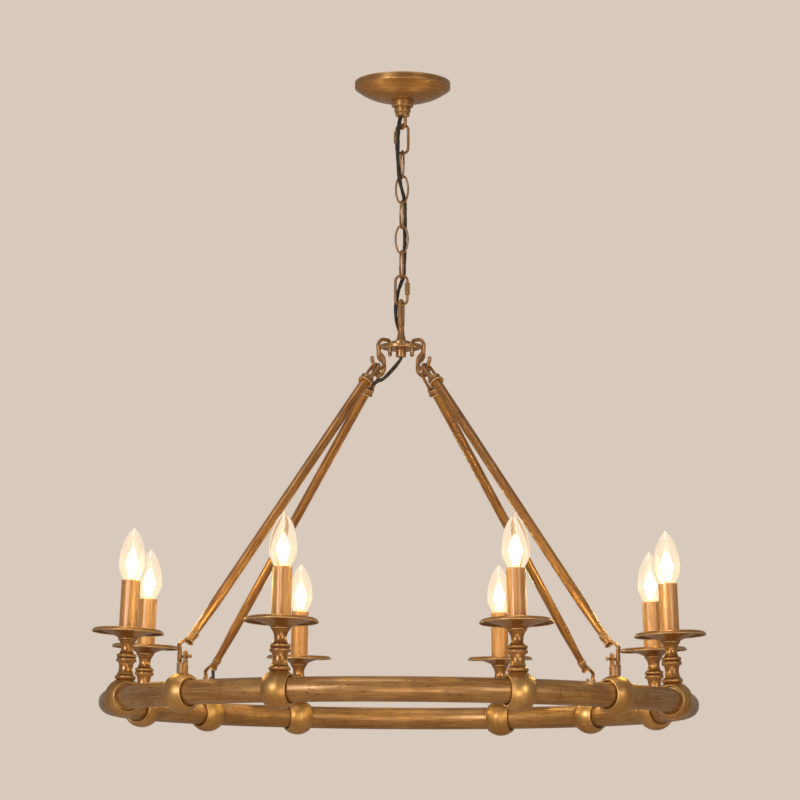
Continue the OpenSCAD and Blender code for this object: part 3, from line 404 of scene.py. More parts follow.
def dense(line, step):
    """A closed outline with points added, so that neighbours lie no further apart than step."""
    ring = np.vstack([line, line[:1]])
    run = distances(ring)
    extra = np.arange(0, run[-1], step)
    near = np.abs(extra[:, None] - run[None, :]).min(1) < step * 0.3
    places = np.sort(np.concatenate([run[:-1], extra[~near]]))
    return np.stack([np.interp(places, run, ring[:, k]) for k in (0, 1)], 1)


def crests(line, window=0.8):
    """How an outline bends at each point: its turn per millimetre over a short window, within -1 to 1."""
    step = np.diff(np.vstack([line, line[:1]]), axis=0)
    size = np.linalg.norm(step, axis=1)
    heading = np.unwrap(np.arctan2(step[:, 1], step[:, 0]))
    ahead = np.roll(line, -1, axis=0)
    way = np.sign((line[:, 0] * ahead[:, 1] - ahead[:, 0] * line[:, 1]).sum())
    run = np.concatenate([[0], np.cumsum(size)])
    middle, total = (run[1:] + run[:-1]) / 2, run[-1]
    at = np.concatenate([middle - total, middle, middle + total])
    head = np.concatenate([heading - way * 2 * np.pi, heading, heading + way * 2 * np.pi])
    turned_by = np.interp(run[:-1] + window, at, head) - np.interp(run[:-1] - window, at, head)
    return np.clip(way * turned_by / (2 * window), -1, 1)


def lathe(line, sides=64, rubbed="round"):
    """A closed outline of (radius, height) turned about the Z axis. The grain runs round it, or along it
    where rubbed is "along"."""
    phi = circle(sides)
    points = turned(line[:, :1], line[:, 1:], phi)
    if rubbed == "round":
        grain = turned(line[:, :1], distances(line)[:, None], phi) * (STRETCH, STRETCH, 1)
    else:
        grain = points * (1, 1, STRETCH)
    return Surface().add(points, grain, crests(line), loop=True)


def sweep(path, wide, tall=None, side=(0, 1, 0), sides=24, corner=1.0, loop=False, relief=0.0):
    """A round or flat bar carried along a path. wide and tall are its half widths along side and across it.
    side is kept square to the path. A corner below 1 squares the section: cos and sin go to that power."""
    path = np.asarray(path, float)
    side, up = square_to(path, side, loop)
    wide = np.broadcast_to(wide, len(path))[:, None]
    tall = wide if tall is None else np.broadcast_to(tall, len(path))[:, None]
    phi = circle(sides)
    across = wide * np.sign(np.cos(phi)) * np.abs(np.cos(phi)) ** corner
    over = tall * np.sign(np.sin(phi)) * np.abs(np.sin(phi)) ** corner
    points = path[:, None] + across[..., None] * side[:, None] + over[..., None] * up[:, None]
    run = distances(path)[:, None]
    if loop:
        run = 0.5 * run[-1] * (1 - np.cos(2 * np.pi * run / run[-1])) / np.pi
    grain = np.stack([run * STRETCH + 0 * across, across, over], -1)
    return Surface().add(points, grain, relief, loop=loop)


def domed(path, r, start=True, end=True, steps=6):
    """A path with its round ends: points carried on past each end by r sin a, where the radius is r cos a."""
    path = np.asarray(path, float)
    radii = np.full(len(path), float(r))
    a = np.linspace(0, np.pi / 2, steps)[1:, None]
    if end:
        ahead = path[-1] - path[-2]
        path = np.vstack([path, path[-1] + r * np.sin(a) * ahead / np.linalg.norm(ahead)])
        radii = np.concatenate([radii, r * np.cos(a[:, 0])])
    if start:
        back = path[0] - path[1]
        path = np.vstack([(path[0] + r * np.sin(a) * back / np.linalg.norm(back))[::-1], path])
        radii = np.concatenate([(r * np.cos(a[:, 0]))[::-1], radii])
    return path, np.where(radii < 1e-6, 0, radii)


def slab(line, low, high, edge=0.4):
    """A flat plate of an outline in the XZ plane, from y = low to y = high. Each face has the middle point and
    the outline drawn in by edge. The outline itself lies edge behind the face, so that the edges are eased."""
    middle = line.mean(0)
    away = line - middle
    drawn = middle + away * (1 - edge / np.linalg.norm(away, axis=1, keepdims=True))
    rows = [(np.broadcast_to(middle, line.shape), low), (drawn, low), (line, low + edge),
            (line, high - edge), (drawn, high), (np.broadcast_to(middle, line.shape), high)]
    points = np.stack([np.stack([r[:, 0], np.full(len(r), y), r[:, 1]], -1) for r, y in rows])
    return Surface().add(points, points * (1, 1, STRETCH), np.array([0, 0.5, 0.5, 0.5, 0.5, 0]))


def curve(points, count):
    """A smooth line through given points: each point is passed with the direction from the point before
    it to the point after it."""
    points = np.asarray(points, float)
    held = np.vstack([2 * points[0] - points[1], points, 2 * points[-1] - points[-2]])
    run = distances(points)
    at = np.interp(np.linspace(0, run[-1], count), run, np.arange(len(points)))
    k = np.minimum(at.astype(int), len(points) - 2)
    t = (at - k)[:, None]
    p, q, r, s = held[k], held[k + 1], held[k + 2], held[k + 3]
    return 0.5 * (2 * q + (r - p) * t + (2 * p - 5 * q + 4 * r - s) * t**2 + (3 * q - p - 3 * r + s) * t**3)


# ---- Finishes ----

class Value:
    """A socket that Python's operators work on. Each operator adds a Math node."""

    def __init__(self, finish, socket):
        self.finish, self.socket = finish, socket

    def math(self, kind, *others):
        """Adds a Math node of that kind on this value and the others."""
        return self.finish.node("ShaderNodeMath", {"operation": kind}, dict(enumerate((self, *others))))

    def __add__(self, other):
        return self.math("ADD", other)

    def __mul__(self, other):
        return self.math("MULTIPLY", other)

    def __sub__(self, other):
        return self.math("SUBTRACT", other)

    def __rsub__(self, other):
        return self.math("MULTIPLY", -1.0) + other

    __radd__, __rmul__ = __add__, __mul__

    def between(self, low, high):
        """0 below low, 1 above high, with a smooth step between them."""
        return self.finish.node("ShaderNodeMapRange", {"interpolation_type": "SMOOTHSTEP"},
                                {"Value": self, "From Min": low, "From Max": high})

    def clipped(self):
        """The value held between 0 and 1."""
        return self.math("MAXIMUM", 0.0).math("MINIMUM", 1.0)


class Finish:
    """A material. Its constant values are set on the shader's own sockets."""

    def __init__(self, name, **constants):
        self.material = bpy.data.materials.new(name)
        self.material.use_nodes = True
        self.tree = self.material.node_tree
        self.shader = next(n for n in self.tree.nodes if n.type == "BSDF_PRINCIPLED")
        for socket, value in constants.items():
            self.shader.inputs[socket.replace("_", " ")].default_value = value

    def node(self, kind, settings=None, inputs=None, out=0):
        """Adds a node: its type, its settings, and the values or links of its sockets. Gives the output named
        by out."""
        made = self.tree.nodes.new(kind)
        for name, value in (settings or {}).items():
            setattr(made, name, value)
        for name, value in (inputs or {}).items():
            if isinstance(value, Value):
                self.tree.links.new(value.socket, made.inputs[name])
            else:
                made.inputs[name].default_value = value
        return Value(self, made.outputs[out])

    def feed(self, **links):
        """Links values to the shader's sockets."""
        for name, value in links.items():
            self.tree.links.new(value.socket, self.shader.inputs[name.replace("_", " ")])
        return self

    def scaled(self, vector, *by):
        """A vector with each of its parts multiplied."""
        return self.node("ShaderNodeVectorMath", {"operation": "MULTIPLY"}, {0: vector, 1: by})

    def noise(self, vector, scale, detail=3.0, roughness=0.55):
        """Noise of a given count of features to the unit of its vector."""
        return self.node("ShaderNodeTexNoise", None, {
            "Vector": vector, "Scale": scale, "Detail": detail, "Roughness": roughness})

    def blend(self, share, first, second):
        """From one colour to another by a share."""
        pair = [c if isinstance(c, Value) else (*c, 1.0) for c in (first, second)]
        return self.node("ShaderNodeMix", {"data_type": "RGBA"}, {0: share, 6: pair[0], 7: pair[1]}, out=2)

    def bump(self, height, distance, strength):
        """A normal that is tilted as a relief of that height would tilt it."""
        inputs = {"Height": height, "Distance": distance, "Strength": strength}
        return self.node("ShaderNodeBump", None, inputs)

    def grain(self):
        """The point's grain, from the mesh."""
        return self.node("ShaderNodeAttribute", {"attribute_name": "grain"}, out="Vector")

    def relief(self):
        """The point's relief, from the mesh."""
        return self.node("ShaderNodeAttribute", {"attribute_name": "relief"}, out="Fac")

    def spot(self):
        """The point's place on the object, in metres."""
        return self.node("ShaderNodeTexCoord", out="Object")


def tone(rgb, by, warm=0.0):
    """A colour made lighter or darker, and redder where warm is above 0."""
    return tuple(min(1.0, c * by * (1 + warm * w)) for c, w in zip(rgb, (1, 0, -1)))


def hand_rubbed(name, middle, metallic, gloss, fine, streaks, specks):
    """Metal with a hand-rubbed bronze finish under lacquer. A wide mottle and thin streaks along the grain go
    from a dark to a light tone, short brown pores follow the grain, grooves are darkened to a deep brown, and
    crests are rubbed bare. gloss is the roughness, fine how close the streaks lie, and streaks and specks are
    how strong they are."""
    c = bpy.context.scene.chandelier.colours
    middle, shade, crest = tuple(middle), tuple(c.shade), tuple(c.crest)
    f = Finish(name, Metallic=metallic, Coat_Weight=0.22, Coat_Roughness=0.14, IOR=1.5)
    mottle = f.noise(f.spot(), 22.0, 3.0).between(0.36, 0.66)
    lines = f.noise(f.grain(), 0.45 * fine, 5.0, 0.7)
    hair = f.noise(f.grain(), 2.6 * fine, 2.0, 0.6)
    pores = f.noise(f.scaled(f.grain(), 4.0, 1.0, 1.0), 0.9 * fine, 1.0, 0.5).between(0.62, 0.70)
    speck = pores * f.noise(f.spot(), 48.0, 2.0).between(0.44, 0.58)
    relief = f.relief()
    ground = f.blend(mottle, tone(middle, 0.80, 0.07), tone(middle, 1.16, -0.03))
    ground = f.blend(lines.between(0.50, 0.64) * streaks, ground, tone(middle, 1.7, -0.02))
    ground = f.blend((1 - lines.between(0.36, 0.50)) * streaks, ground, tone(middle, 0.40, 0.14))
    ground = f.blend(hair.between(0.54, 0.72) * streaks * 0.6, ground, tone(middle, 0.5, 0.1))
    ground = f.blend(speck * specks, ground, tone(shade, 0.8))
    # Where the relief is low, in tight grooves and hollows, the colour is darkened to deep brown.
    ground = f.blend((relief * -2.4 - 0.08).clipped() * 0.9, ground, shade)
    rubbed = (relief - 0.22).clipped() * 1.5 * (f.noise(f.grain(), 2.2, 2.0).between(0.35, 0.6) * 0.6 + 0.4)
    ground = f.blend(rubbed.clipped() * 0.7, ground, crest)
    rough = hair * 0.18 + mottle * -0.08 + speck * 0.2 + gloss - 0.05
    height = hair * 0.5 + f.noise(f.spot(), 240.0, 2.0) * 0.5 - speck * 0.6
    return f.feed(Base_Color=ground, Roughness=rough, Normal=f.bump(height, 0.00012, 0.55)).material


def candle_drip(name, middle):
    """Painted candle sleeve: tan with long brown streaks that run down it, rubbed thin on its rim."""
    f = Finish(name, Metallic=0.35, IOR=1.5, Coat_Weight=0.5, Coat_Roughness=0.18)
    bands = f.noise(f.grain(), 0.42, 3.0, 0.6).between(0.36, 0.66)
    streak = f.noise(f.grain(), 1.5, 3.0, 0.65)
    fine = f.noise(f.grain(), 4.5, 2.0, 0.6)
    ground = f.blend(bands, tone(middle, 0.72, 0.1), tone(middle, 1.12))
    ground = f.blend(streak.between(0.52, 0.68) * 0.5, ground, tone(middle, 0.42, 0.2))
    ground = f.blend(fine.between(0.52, 0.7) * 0.3, ground, tone(middle, 1.4, -0.1))
    ground = f.blend((f.relief() - 0.25).clipped() * 0.8, ground, tone(middle, 1.7))
    height = streak * 0.6 + fine * 0.4
    return f.feed(Base_Color=ground, Roughness=fine * 0.2 + 0.36,
                  Normal=f.bump(height, 0.0002, 0.6)).material


def plated(name, light, dark, metallic=1.0, rough=0.32):
    """Plated or dyed metal of the hidden fittings: a crystal mottle with small scratches."""
    f = Finish(name, Metallic=metallic)
    cells = f.node("ShaderNodeTexVoronoi", None, {"Vector": f.spot(), "Scale": 260.0}, out="Distance")
    cloud = f.noise(f.spot(), 60.0, 4.0)
    scratch = f.noise(f.scaled(f.spot(), 900.0, 60.0, 900.0), 1.0, 2.0)
    ground = f.blend(cells.between(0.1, 0.8) * 0.5 + cloud * 0.4, light, dark)
    return f.feed(Base_Color=ground, Roughness=cloud * 0.25 + rough - 0.1,
                  Normal=f.bump(scratch, 0.00005, 0.5)).material


def holder(name):
    """Cream moulded lamp holder, browned in places by a cloudy mottle."""
    f = Finish(name, IOR=1.48)
    cloud = f.noise(f.spot(), 55.0, 4.0)
    ground = f.blend(cloud.between(0.4, 0.75), (0.66, 0.58, 0.44), (0.50, 0.40, 0.27))
    return f.feed(Base_Color=ground, Roughness=cloud * 0.2 + 0.35,
                  Normal=f.bump(f.noise(f.spot(), 700.0, 2.0), 0.00004, 0.4)).material


def braid(name, dark):
    """Fabric-covered cord: a fine diagonal plait on the two strands, with painted shade in the groove between
    them.
    Two sine waves wind round it, one each way, and the threads stand out where both are high."""
    f = Finish(name, IOR=1.45, Sheen_Weight=0.08, Sheen_Roughness=0.5)
    along = f.node("ShaderNodeSeparateXYZ", None, {0: f.grain()}, out="X") * (2 * math.pi * 14)
    around = f.node("ShaderNodeSeparateXYZ", None, {0: f.grain()}, out="Y") * 9.0
    plait = ((along + around).math("SINE") * 0.5 + 0.5) * ((along - around).math("SINE") * 0.5 + 0.5)
    dust = f.noise(f.spot(), 180.0, 3.0).between(0.5, 0.8)
    ground = f.blend(plait * 0.6, tone(dark, 0.6), tone(dark, 2.2, 0.15))
    ground = f.blend(dust * 0.22, ground, (0.16, 0.12, 0.085))
    # Painted shade: the groove between the two strands is darkened where its relief is low.
    ground = f.blend((f.relief() * -1.0).clipped(), ground, tone(dark, 0.35))
    return f.feed(Base_Color=ground, Roughness=plait * -0.12 + 0.66,
                  Normal=f.bump(plait, 0.0002, 0.8)).material


def clear_glass(name, glow):
    """Bulb glass: clear, with a painted peach glow of the filaments' light that is stronger near its mouth and
    runs up in wisps.
    """
    mouth, glass = (wheel_level() + mouth_height()) / 1000, sizes("bulbs").height / 1000
    f = Finish(name, Transmission_Weight=1.0, IOR=1.45, Emission_Strength=1.0)
    height = f.node("ShaderNodeSeparateXYZ", None, {0: f.spot()}, out="Z")
    wisps = f.noise(f.scaled(f.spot(), 420.0, 420.0, 30.0), 1.0, 2.0).between(0.35, 0.7)
    rise = ((height - mouth) * (1 / glass)).clipped()
    # Painted glow: the glass emits the filaments' light, brighter and paler near the mouth, dimmer and warmer
    # near the tip, with paler wisps.
    shine = f.blend(rise.between(0.0, 0.75), tone(glow, 0.12, -0.02), tone(glow, 0.068, 0.06))
    shine = f.blend(wisps * 0.4, shine, tone(glow, 0.12, -0.05))
    smooth_wave = f.noise(f.spot(), 60.0, 2.0)
    return f.feed(Base_Color=f.blend(rise, (1.0, 0.95, 0.86), (1, 1, 1)), Emission_Color=shine,
                  Roughness=smooth_wave * 0.03, Normal=f.bump(smooth_wave, 0.0003, 0.15)).material


def lit_wire(name, glow):
    """Filament that glows from amber to a paler tone, by a noise along it."""
    f = Finish(name, Emission_Strength=3.0)
    hot = f.noise(f.grain(), 1.2, 2.0).between(0.3, 0.7)
    return f.feed(Base_Color=f.blend(hot, (0.5, 0.2, 0.05), (0.9, 0.6, 0.3)),
                  Emission_Color=f.blend(hot, tone(glow, 0.95, 0.1), tone(glow, 1.0, -0.2))).material


def stage_finish(name, ground, own=0.72):
    """Plain stage: an even pale colour with the faintest mottle. The camera sees it by its own colour for the
    share own, so that it stays pale and even, and for the rest by the light and the shadows on it."""
    f = Finish(name, Specular_IOR_Level=0.1)
    cloud = f.noise(f.spot(), 0.8, 2.0)
    f.feed(Base_Color=f.blend(cloud, ground, tone(ground, 1.03)), Roughness=cloud * 0.1 + 0.8)
    seen = f.node("ShaderNodeLightPath", out="Is Camera Ray") * own
    plain = f.node("ShaderNodeEmission", None, {"Color": (*ground, 1)})
    mixed = f.node("ShaderNodeMixShader", None, {0: seen, 1: Value(f, f.shader.outputs[0]), 2: plain})
    out = next(node for node in f.tree.nodes if node.type == "OUTPUT_MATERIAL")
    f.tree.links.new(mixed.socket, out.inputs["Surface"])
    return f.material


def finish(name):
    """The finish of that name, made when it is first asked for."""
    if name in bpy.data.materials:
        return bpy.data.materials[name]
    c = bpy.context.scene.chandelier.colours
    makers = {
        "tube_bronze": (hand_rubbed, c.tube, 0.45, 0.36, 1.0, 0.5, 1.0),
        "rod_bronze": (hand_rubbed, c.rod, 0.5, 0.32, 1.1, 0.8, 0.5),
        "wire_bronze": (hand_rubbed, c.wire, 0.6, 0.36, 1.5, 0.6, 0.5),
        "turned_bronze": (hand_rubbed, c.turned, 0.6, 0.24, 1.3, 0.5, 0.5),
        "canopy_bronze": (hand_rubbed, c.canopy, 0.6, 0.30, 0.8, 0.5, 0.7),
        "collar_gold": (hand_rubbed, c.collar, 0.9, 0.40, 1.0, 0.22, 0.4),
        "sleeve_tan": (candle_drip, tuple(c.sleeve)),
        "zinc_plate": (plated, (0.62, 0.60, 0.55), (0.36, 0.35, 0.32)),
        "green_screw": (plated, (0.10, 0.33, 0.12), (0.04, 0.16, 0.05), 0.5, 0.4),
        "cap_brass": (plated, (0.70, 0.52, 0.26), (0.45, 0.30, 0.13), 1.0, 0.28),
        "holder_cream": (holder,),
        "cord_braid": (braid, tuple(c.cord)),
        "bulb_glass": (clear_glass, tuple(c.glow)),
        "filament": (lit_wire, tuple(c.glow)),
    }
    maker, *values = makers[name]
    return maker(name, *values)


# ---- Places on the frame, in millimetres ----

def wheel_level():
    """Height of the middle of the wheel's tube."""
    low, high = span("wheel_half_left")
    return (low[2] + high[2]) / 2


def mouth_height():
    """Height of a candle sleeve's mouth over the middle of the wheel's tube."""
    c = sizes("candles")
    return c.pillar_height + c.pan_sheet + c.sleeve_length


def plate_heights():
    """Underside and top of the hub plate."""
    low, high = span("hub_plate")
    return low[2], high[2]


def round_wheel(angles, lean=0.0):
    """Places on the wheel's tube at the angles, leaning towards the middle."""
    r = sizes("wheel").wheel_width / 2
    return [turn("Z", a) @ shift(r, 0, wheel_level()) @ turn("Y", -lean) for a in angles]


def joint_heights():
    """Heights of the chain's joints from the stem's bar down to the hub's."""
    heights = [span("stem_loop")[0][2] + sizes("ceiling").loop_wire]
    chain = sizes("chain")
    for body in CHAIN_BODIES:
        wire = chain.quick_wire if "quick" in body else chain.link_wire
        heights.append(span(body)[0][2] + wire)
    return heights


def hook_line():
    """Middle line of an S-hook as (radius, height), and the place of a bail's top in its seat. The line goes
    up through the plate, over its edge, out in two equal bends, and round the seat to the wide tip."""
    h, (low, high) = sizes("hub"), plate_heights()
    arch = np.array([h.hook_circle + h.arch_radius, low - 2.3])
    rise = high - 0.6
    rise_r = arch[1] + h.arch_radius - rise
    seat = arch + (h.hook_reach, -h.hook_drop)
    pull = math.radians(PULL_ANGLE)
    away = np.array([math.cos(pull), -math.sin(pull)])
    tip = seat + (h.seat_radius - h.tip_radius) * away
    arch_end, seat_start = arch + (h.arch_radius, 0), seat - (h.seat_radius, 0)
    sway = arch_end[0] - seat_start[0]
    bend = 2 * math.degrees(math.atan2(sway, h.hook_drop))
    r = sway / (2 * (1 - math.cos(math.radians(bend))))
    line = outline(
        (h.hook_circle, low - h.hook_tail), arc(h.hook_circle + rise_r, rise, rise_r, 180, 90, 13),
        arc(*arch, h.arch_radius, 90, 0, 17), arc(arch_end[0] - r, arch_end[1], r, 0, -bend, 11),
        arc(seat_start[0] + r, seat_start[1], r, 180 - bend, 180, 11),
        arc(*seat, h.seat_radius, 180, 360 - PULL_ANGLE, 19), arc(*tip, h.tip_radius, -PULL_ANGLE, -5, 9))
    return line, seat + (h.seat_radius - h.hook_wire / 2 - sizes("rods").bail_wire / 2 - SEAT_GAP) * away


def rod_line():
    """Top and foot of a rod's axis as (radius, height), and its hinge pin."""
    rods, wheel = sizes("rods"), sizes("wheel")
    top = hook_line()[1]
    post_top = wheel_level() + wheel.ball_width / 2 + rods.post_height
    pin = np.array([wheel.wheel_width / 2, post_top + PIN_RISE])
    return top, pin + FOOT_STEP, pin


def along_rod():
    """Matrix that puts a shape hung down from the origin along the rod of angle 0."""
    top, foot, _ = rod_line()
    run = foot - top
    slope = math.degrees(math.atan2(-run[1], run[0]))
    return shift(top[0], 0, top[1]) @ turn("Y", slope - 90)


def in_plane(line, y=0.0):
    """A line of (x, z) as points of the XZ plane."""
    line = np.asarray(line, float)
    return np.stack([line[:, 0], np.full(len(line), y), line[:, 1]], 1)


# ---- Pieces ----

def ring_loop(r, low, high, wire, open_top):
    """A tall loop of round wire, closed by two half circles. With open_top, its legs end in a bell above."""
    if open_top:
        middle = (low + high) / 2
        path = outline((-r, high), (-r, middle), arc(0, low, r, 180, 360, 25), (r, middle), (r, high))
        return sweep(in_plane(path), wire / 2, sides=28)
    path = outline(arc(0, high, r, 0, 180, 21), arc(0, low, r, 180, 360, 21))
    return sweep(in_plane(path), wire / 2, sides=28, loop=True)


def canopy_shell(c):
    """The canopy: an upright rim, a dome, a flat seat, and the same line drawn in. The dome's fall at radius
    r grows with 1 less the cube of the share of the way out, so that it curves in fastest near the rim."""
    half, seat, edge = c.canopy_width / 2, 17.0, 0.9
    inner = half - c.canopy_wall

    def dome(r):
        return -c.canopy_rim - c.canopy_dish * (1 - (r / half) ** 3)

    out = np.sin(np.linspace(0, np.pi / 2, 40))
    skin = seat + (half - edge - seat) * out
    lining = (seat + (inner - seat) * out)[::-1]
    hole = c.neck_width / 2 + 0.5
    line = outline(
        (hole, dome(seat)), np.stack([skin, dome(skin)], 1),
        arc(half - edge, -c.canopy_rim + 0.1, edge, -50, 0, 5),
        (half, -0.7), arc(half - 0.5, -0.5, 0.5, 0, 90, 4), (inner, -0.1),
        np.stack([lining, dome(lining) + c.canopy_wall], 1), (hole, dome(seat) + c.canopy_wall))
    return lathe(dense(line, 2.5), 128)


def stem_shell(c, top, rim):
    """The stem's bell: a neck, a rounded shoulder and a thin rim with a rolled edge."""
    neck, r, shoulder = c.neck_width / 2, c.rim_width / 2, 3.4
    bell = neck - 0.4
    line = outline(
        (4, top + 8), (neck, top + 8), (neck, top - 0.2), (bell, top - 0.6),
        arc(bell - shoulder, rim + shoulder, shoulder, 0, -78, 10), arc(r - 1.1, rim - 0.7, 1.0, 90, -20, 7),
        (r - 0.5, rim - 1.9), arc(r - 0.9, rim - 3.1, 0.9, 30, -90, 6), (r - 2.4, rim - 4.2),
        (r - 3.2, rim - 4.9), (4, rim - 4.9))
    return lathe(dense(line, 0.9), 72)


def oval_link(c):
    """A welded link: two tight end bends, two wide side bends, and a weld bead halfway down one side."""
    half_l, half_w = (c.link_length - c.link_wire) / 2, (c.link_width - c.link_wire) / 2
    end = half_l - c.end_radius
    side = (half_w**2 + end**2 - c.end_radius**2) / (2 * (half_w - c.end_radius))
    lean = math.degrees(math.atan2(end, side - half_w))
    path = outline(
        arc(half_w - side, 0, side, -lean, lean, 25), arc(0, end, c.end_radius, lean, 180 - lean, 19),
        arc(side - half_w, 0, side, 180 - lean, 180 + lean, 25),
        arc(0, -end, c.end_radius, 180 + lean, 360 - lean, 19))[:-1]
    bead = np.where(path[:, 0] > 0, np.exp(-((path[:, 1] / 1.1) ** 2)), 0)
    return sweep(in_plane(path), c.link_wire / 2 * (1 + 0.14 * bead), loop=True, relief=-0.25 * bead)


def quick_link(c):
    """The bent wire of a quick link: two legs and two half circles."""
    r = (c.quick_width - c.quick_wire) / 2
    end = (c.quick_length - c.quick_width) / 2
    path = outline(arc(0, end, r, 0, 180, 25), arc(0, -end, r, 180, 360, 25))
    return sweep(in_plane(path), c.quick_wire / 2, sides=28, loop=True)


def long_nut(c):
    """A long hexagonal nut: flats at a constant distance from its line, cut back by a cone at each end."""
    length, sides = c.nut_length, 72
    top = (c.quick_length - c.quick_width) / 2 - 2.4
    z = np.concatenate([[0, 0.35], np.linspace(1.1, length - 1.1, 9), [length - 0.35, length]])
    phi = circle(sides)
    flats = c.nut_width / 2 * math.cos(math.pi / 6) / np.cos((phi + np.pi / 6) % (np.pi / 3) - np.pi / 6)
    cone = c.nut_width * 0.43 + 1.2 * np.minimum(z, length - z)
    r = np.vstack([np.minimum(flats, cone[:, None]), np.full((2, sides), c.quick_wire / 2 - 0.1)])
    points = turned(r, np.concatenate([z, [length, 0]])[:, None] + top - length, phi)
    relief = np.where(r > c.nut_width * 0.48, 0.6, 0.0)
    return Surface().add(points, points * (1, 1, STRETCH), relief, loop=True)


def hub_bell(h, top, waist):
    """The hub's flare: a hollow curve from the waist to a foot disc with a rolled edge."""
    r, slim = h.foot_width / 2, h.waist_width / 2
    foot, curve_r, edge = 6.0, 57.0, 1.2
    turn_to = math.degrees(math.asin((waist - top - foot) / curve_r))
    flare = arc(slim + curve_r, waist, curve_r, 180, 180 + turn_to, 18)
    line = outline(
        (2, waist + 4), (slim - 1, waist + 3.6), (slim, waist), flare,
        (flare[-1][0], top + foot), (r - edge, top + foot), arc(r - edge, top + foot - edge, edge, 90, 0, 6),
        arc(r - edge, top + edge, edge, 0, -90, 6), (2, top))
    return lathe(dense(line, 0.9), 72)


def disc(r, bore, low, high, edge=1.0, sides=96):
    """A flat disc with a bore and rounded edges."""
    line = outline((bore, low), arc(r - edge, low + edge, edge, -90, 0, 6),
                   arc(r - edge, high - edge, edge, 0, 90, 6), (bore, high))
    return lathe(dense(line, 1.5), sides)


def hook_bar(h, line):
    """An S-hook: its middle line carried by round wire, with a small ball on the tail and a round tip."""
    path = in_plane(outline(curve(line[:2], 6), line[1:]))
    path, radii = domed(path, h.hook_wire / 2)
    run = np.linalg.norm(path - path[0], axis=1)
    ball = 0.35 * np.exp(-(((run - 3.0) / 2.0) ** 2))
    return sweep(path, np.where(radii > 0, radii + ball, 0), sides=28)


def rod_tube(r, length):
    """A rod: a tube with a long taper, wrapped with three rings and flared at its mouth."""
    half, tip, wrap, pitch = r.rod_width / 2, r.tip_width / 2, 1.3, 2.3
    bore, start = half - ROD_WALL, r.bail_height + 3
    rings = [arc(tip + 0.5, -length + 4.6 - k * pitch, wrap, 62, -62, 7) for k in range(3)]
    line = outline(
        (bore, -start), (half, -start), (half, r.taper - length), (tip + 0.4, -length + 7.2), *rings,
        (tip + 0.3, -length - 4.4), (tip + 1.0, -length - 9),
        arc(tip + 1.6, -length - 11.4, 0.6, 45, -150, 6),
        (tip - 0.2, -length - 10), (tip - 1.0, -length - 4), (bore, r.taper - length))
    return lathe(dense(line, 6.0), 48, "along")


def ferrule(r):
    """The open cup on the top of a rod: a ring with a rounded upper edge and a rolled lip below."""
    half, bore = r.ferrule_width / 2, r.rod_width / 2 - ROD_WALL
    low, high = -r.bail_height - r.ferrule_height, -r.bail_height
    line = outline(
        (bore, high), (half - 0.8, high), arc(half - 0.8, high - 0.8, 0.8, 90, 0, 5), (half - 0.1, low + 4.2),
        arc(half, low + 1.3, 1.3, 80, -90, 9), (half - 1.2, low + 0.3), (bore, low + 0.3))
    return lathe(dense(line, 0.9), 64)


def bail(r):
    """The bail: a half circle of wire on two legs that run a little way into the ferrule."""
    half, legs = r.bail_radius, -r.bail_height - 2.5
    path = outline((-half, legs), (-half, -half - 8), arc(0, -half, half, 180, 0, 25), (half, -half - 8),
                   (half, legs))
    return sweep(in_plane(curve(path, 70)), r.bail_wire / 2)


def foot_strap(foot, pin, axis):
    """The flat strap of a rod's foot: it leaves the rod's outer side, and bends down beside the hinge pin."""
    out = np.array([-axis[1], axis[0]])
    side = foot + 4.6 * out
    path = curve([*[side + s * axis for s in (-26, -12, -2, 7)],
                  *[pin + step for step in ((5.4, 17), (5, 10), (5, 2), (5, -6.2))]], 60)
    t = np.linspace(0, 1, len(path))
    flat = np.interp(t, [0, 0.3, 0.7, 1], [1.9, 2.4, 2.6, 2.6])
    thick = np.interp(t, [0, 0.3, 0.7, 1], [1.0, 1.6, 2.0, 2.1])
    ends = np.sqrt(np.clip(np.minimum(t, 1 - t) / 0.03, 0, 1))
    return sweep(in_plane(path), flat * ends, thick * ends, sides=28, corner=0.55)


def tube_half(w, start):
    """Half of the wheel's tube: two circles, the wall apart, carried round the wheel, and closed at both ends
    with an eased edge."""
    rows, gap = 241, 0.03
    outside, middle = w.tube_width / 2, w.wheel_width / 2
    inside, eased = outside - w.tube_wall, outside - 0.25
    last = rows - 1
    order = np.concatenate([[0], np.arange(rows), [last], [last], np.arange(last, -1, -1), [0]])
    a = np.radians(np.linspace(start + gap, start + 180 - gap, rows))[order, None]
    radii = np.array([eased, *[outside] * rows, eased, *[inside] * (rows + 2)])[:, None]
    phi = circle(72)
    r = middle + radii * np.cos(phi)
    points = np.stack([r * np.cos(a), r * np.sin(a), wheel_level() + radii * np.sin(phi) + 0 * a], -1)
    grain = np.stack([a * middle * STRETCH + 0 * phi, radii * np.cos(phi), radii * np.sin(phi)], -1)
    return Surface().add(points, grain, loop=True)


def ball_collar(w):
    """A ball collar: a ball with flat ends, a rounded lip, and a gap that runs in round the tube."""
    half, r, tube = w.ball_length / 2, w.ball_width / 2, w.tube_width / 2
    gap, lip, depth = tube + w.lip_gap, 1.3, 3.6
    turn_to = math.degrees(math.asin((half - lip) / r))
    end = math.sqrt(r**2 - (half - lip) ** 2)
    line = outline(
        (tube - 0.5, depth - half), (gap, depth - half), (gap, 0.8 - half),
        arc(end - lip, lip - half, lip, -115, -40, 6), arc(0, 0, r, -turn_to, turn_to, 33),
        arc(end - lip, half - lip, lip, 40, 115, 6), (gap, half - 0.8), (gap, half - depth),
        (tube - 0.5, half - depth))
    return lathe(dense(line, 1.6), 80).copies(turn("X", 90))


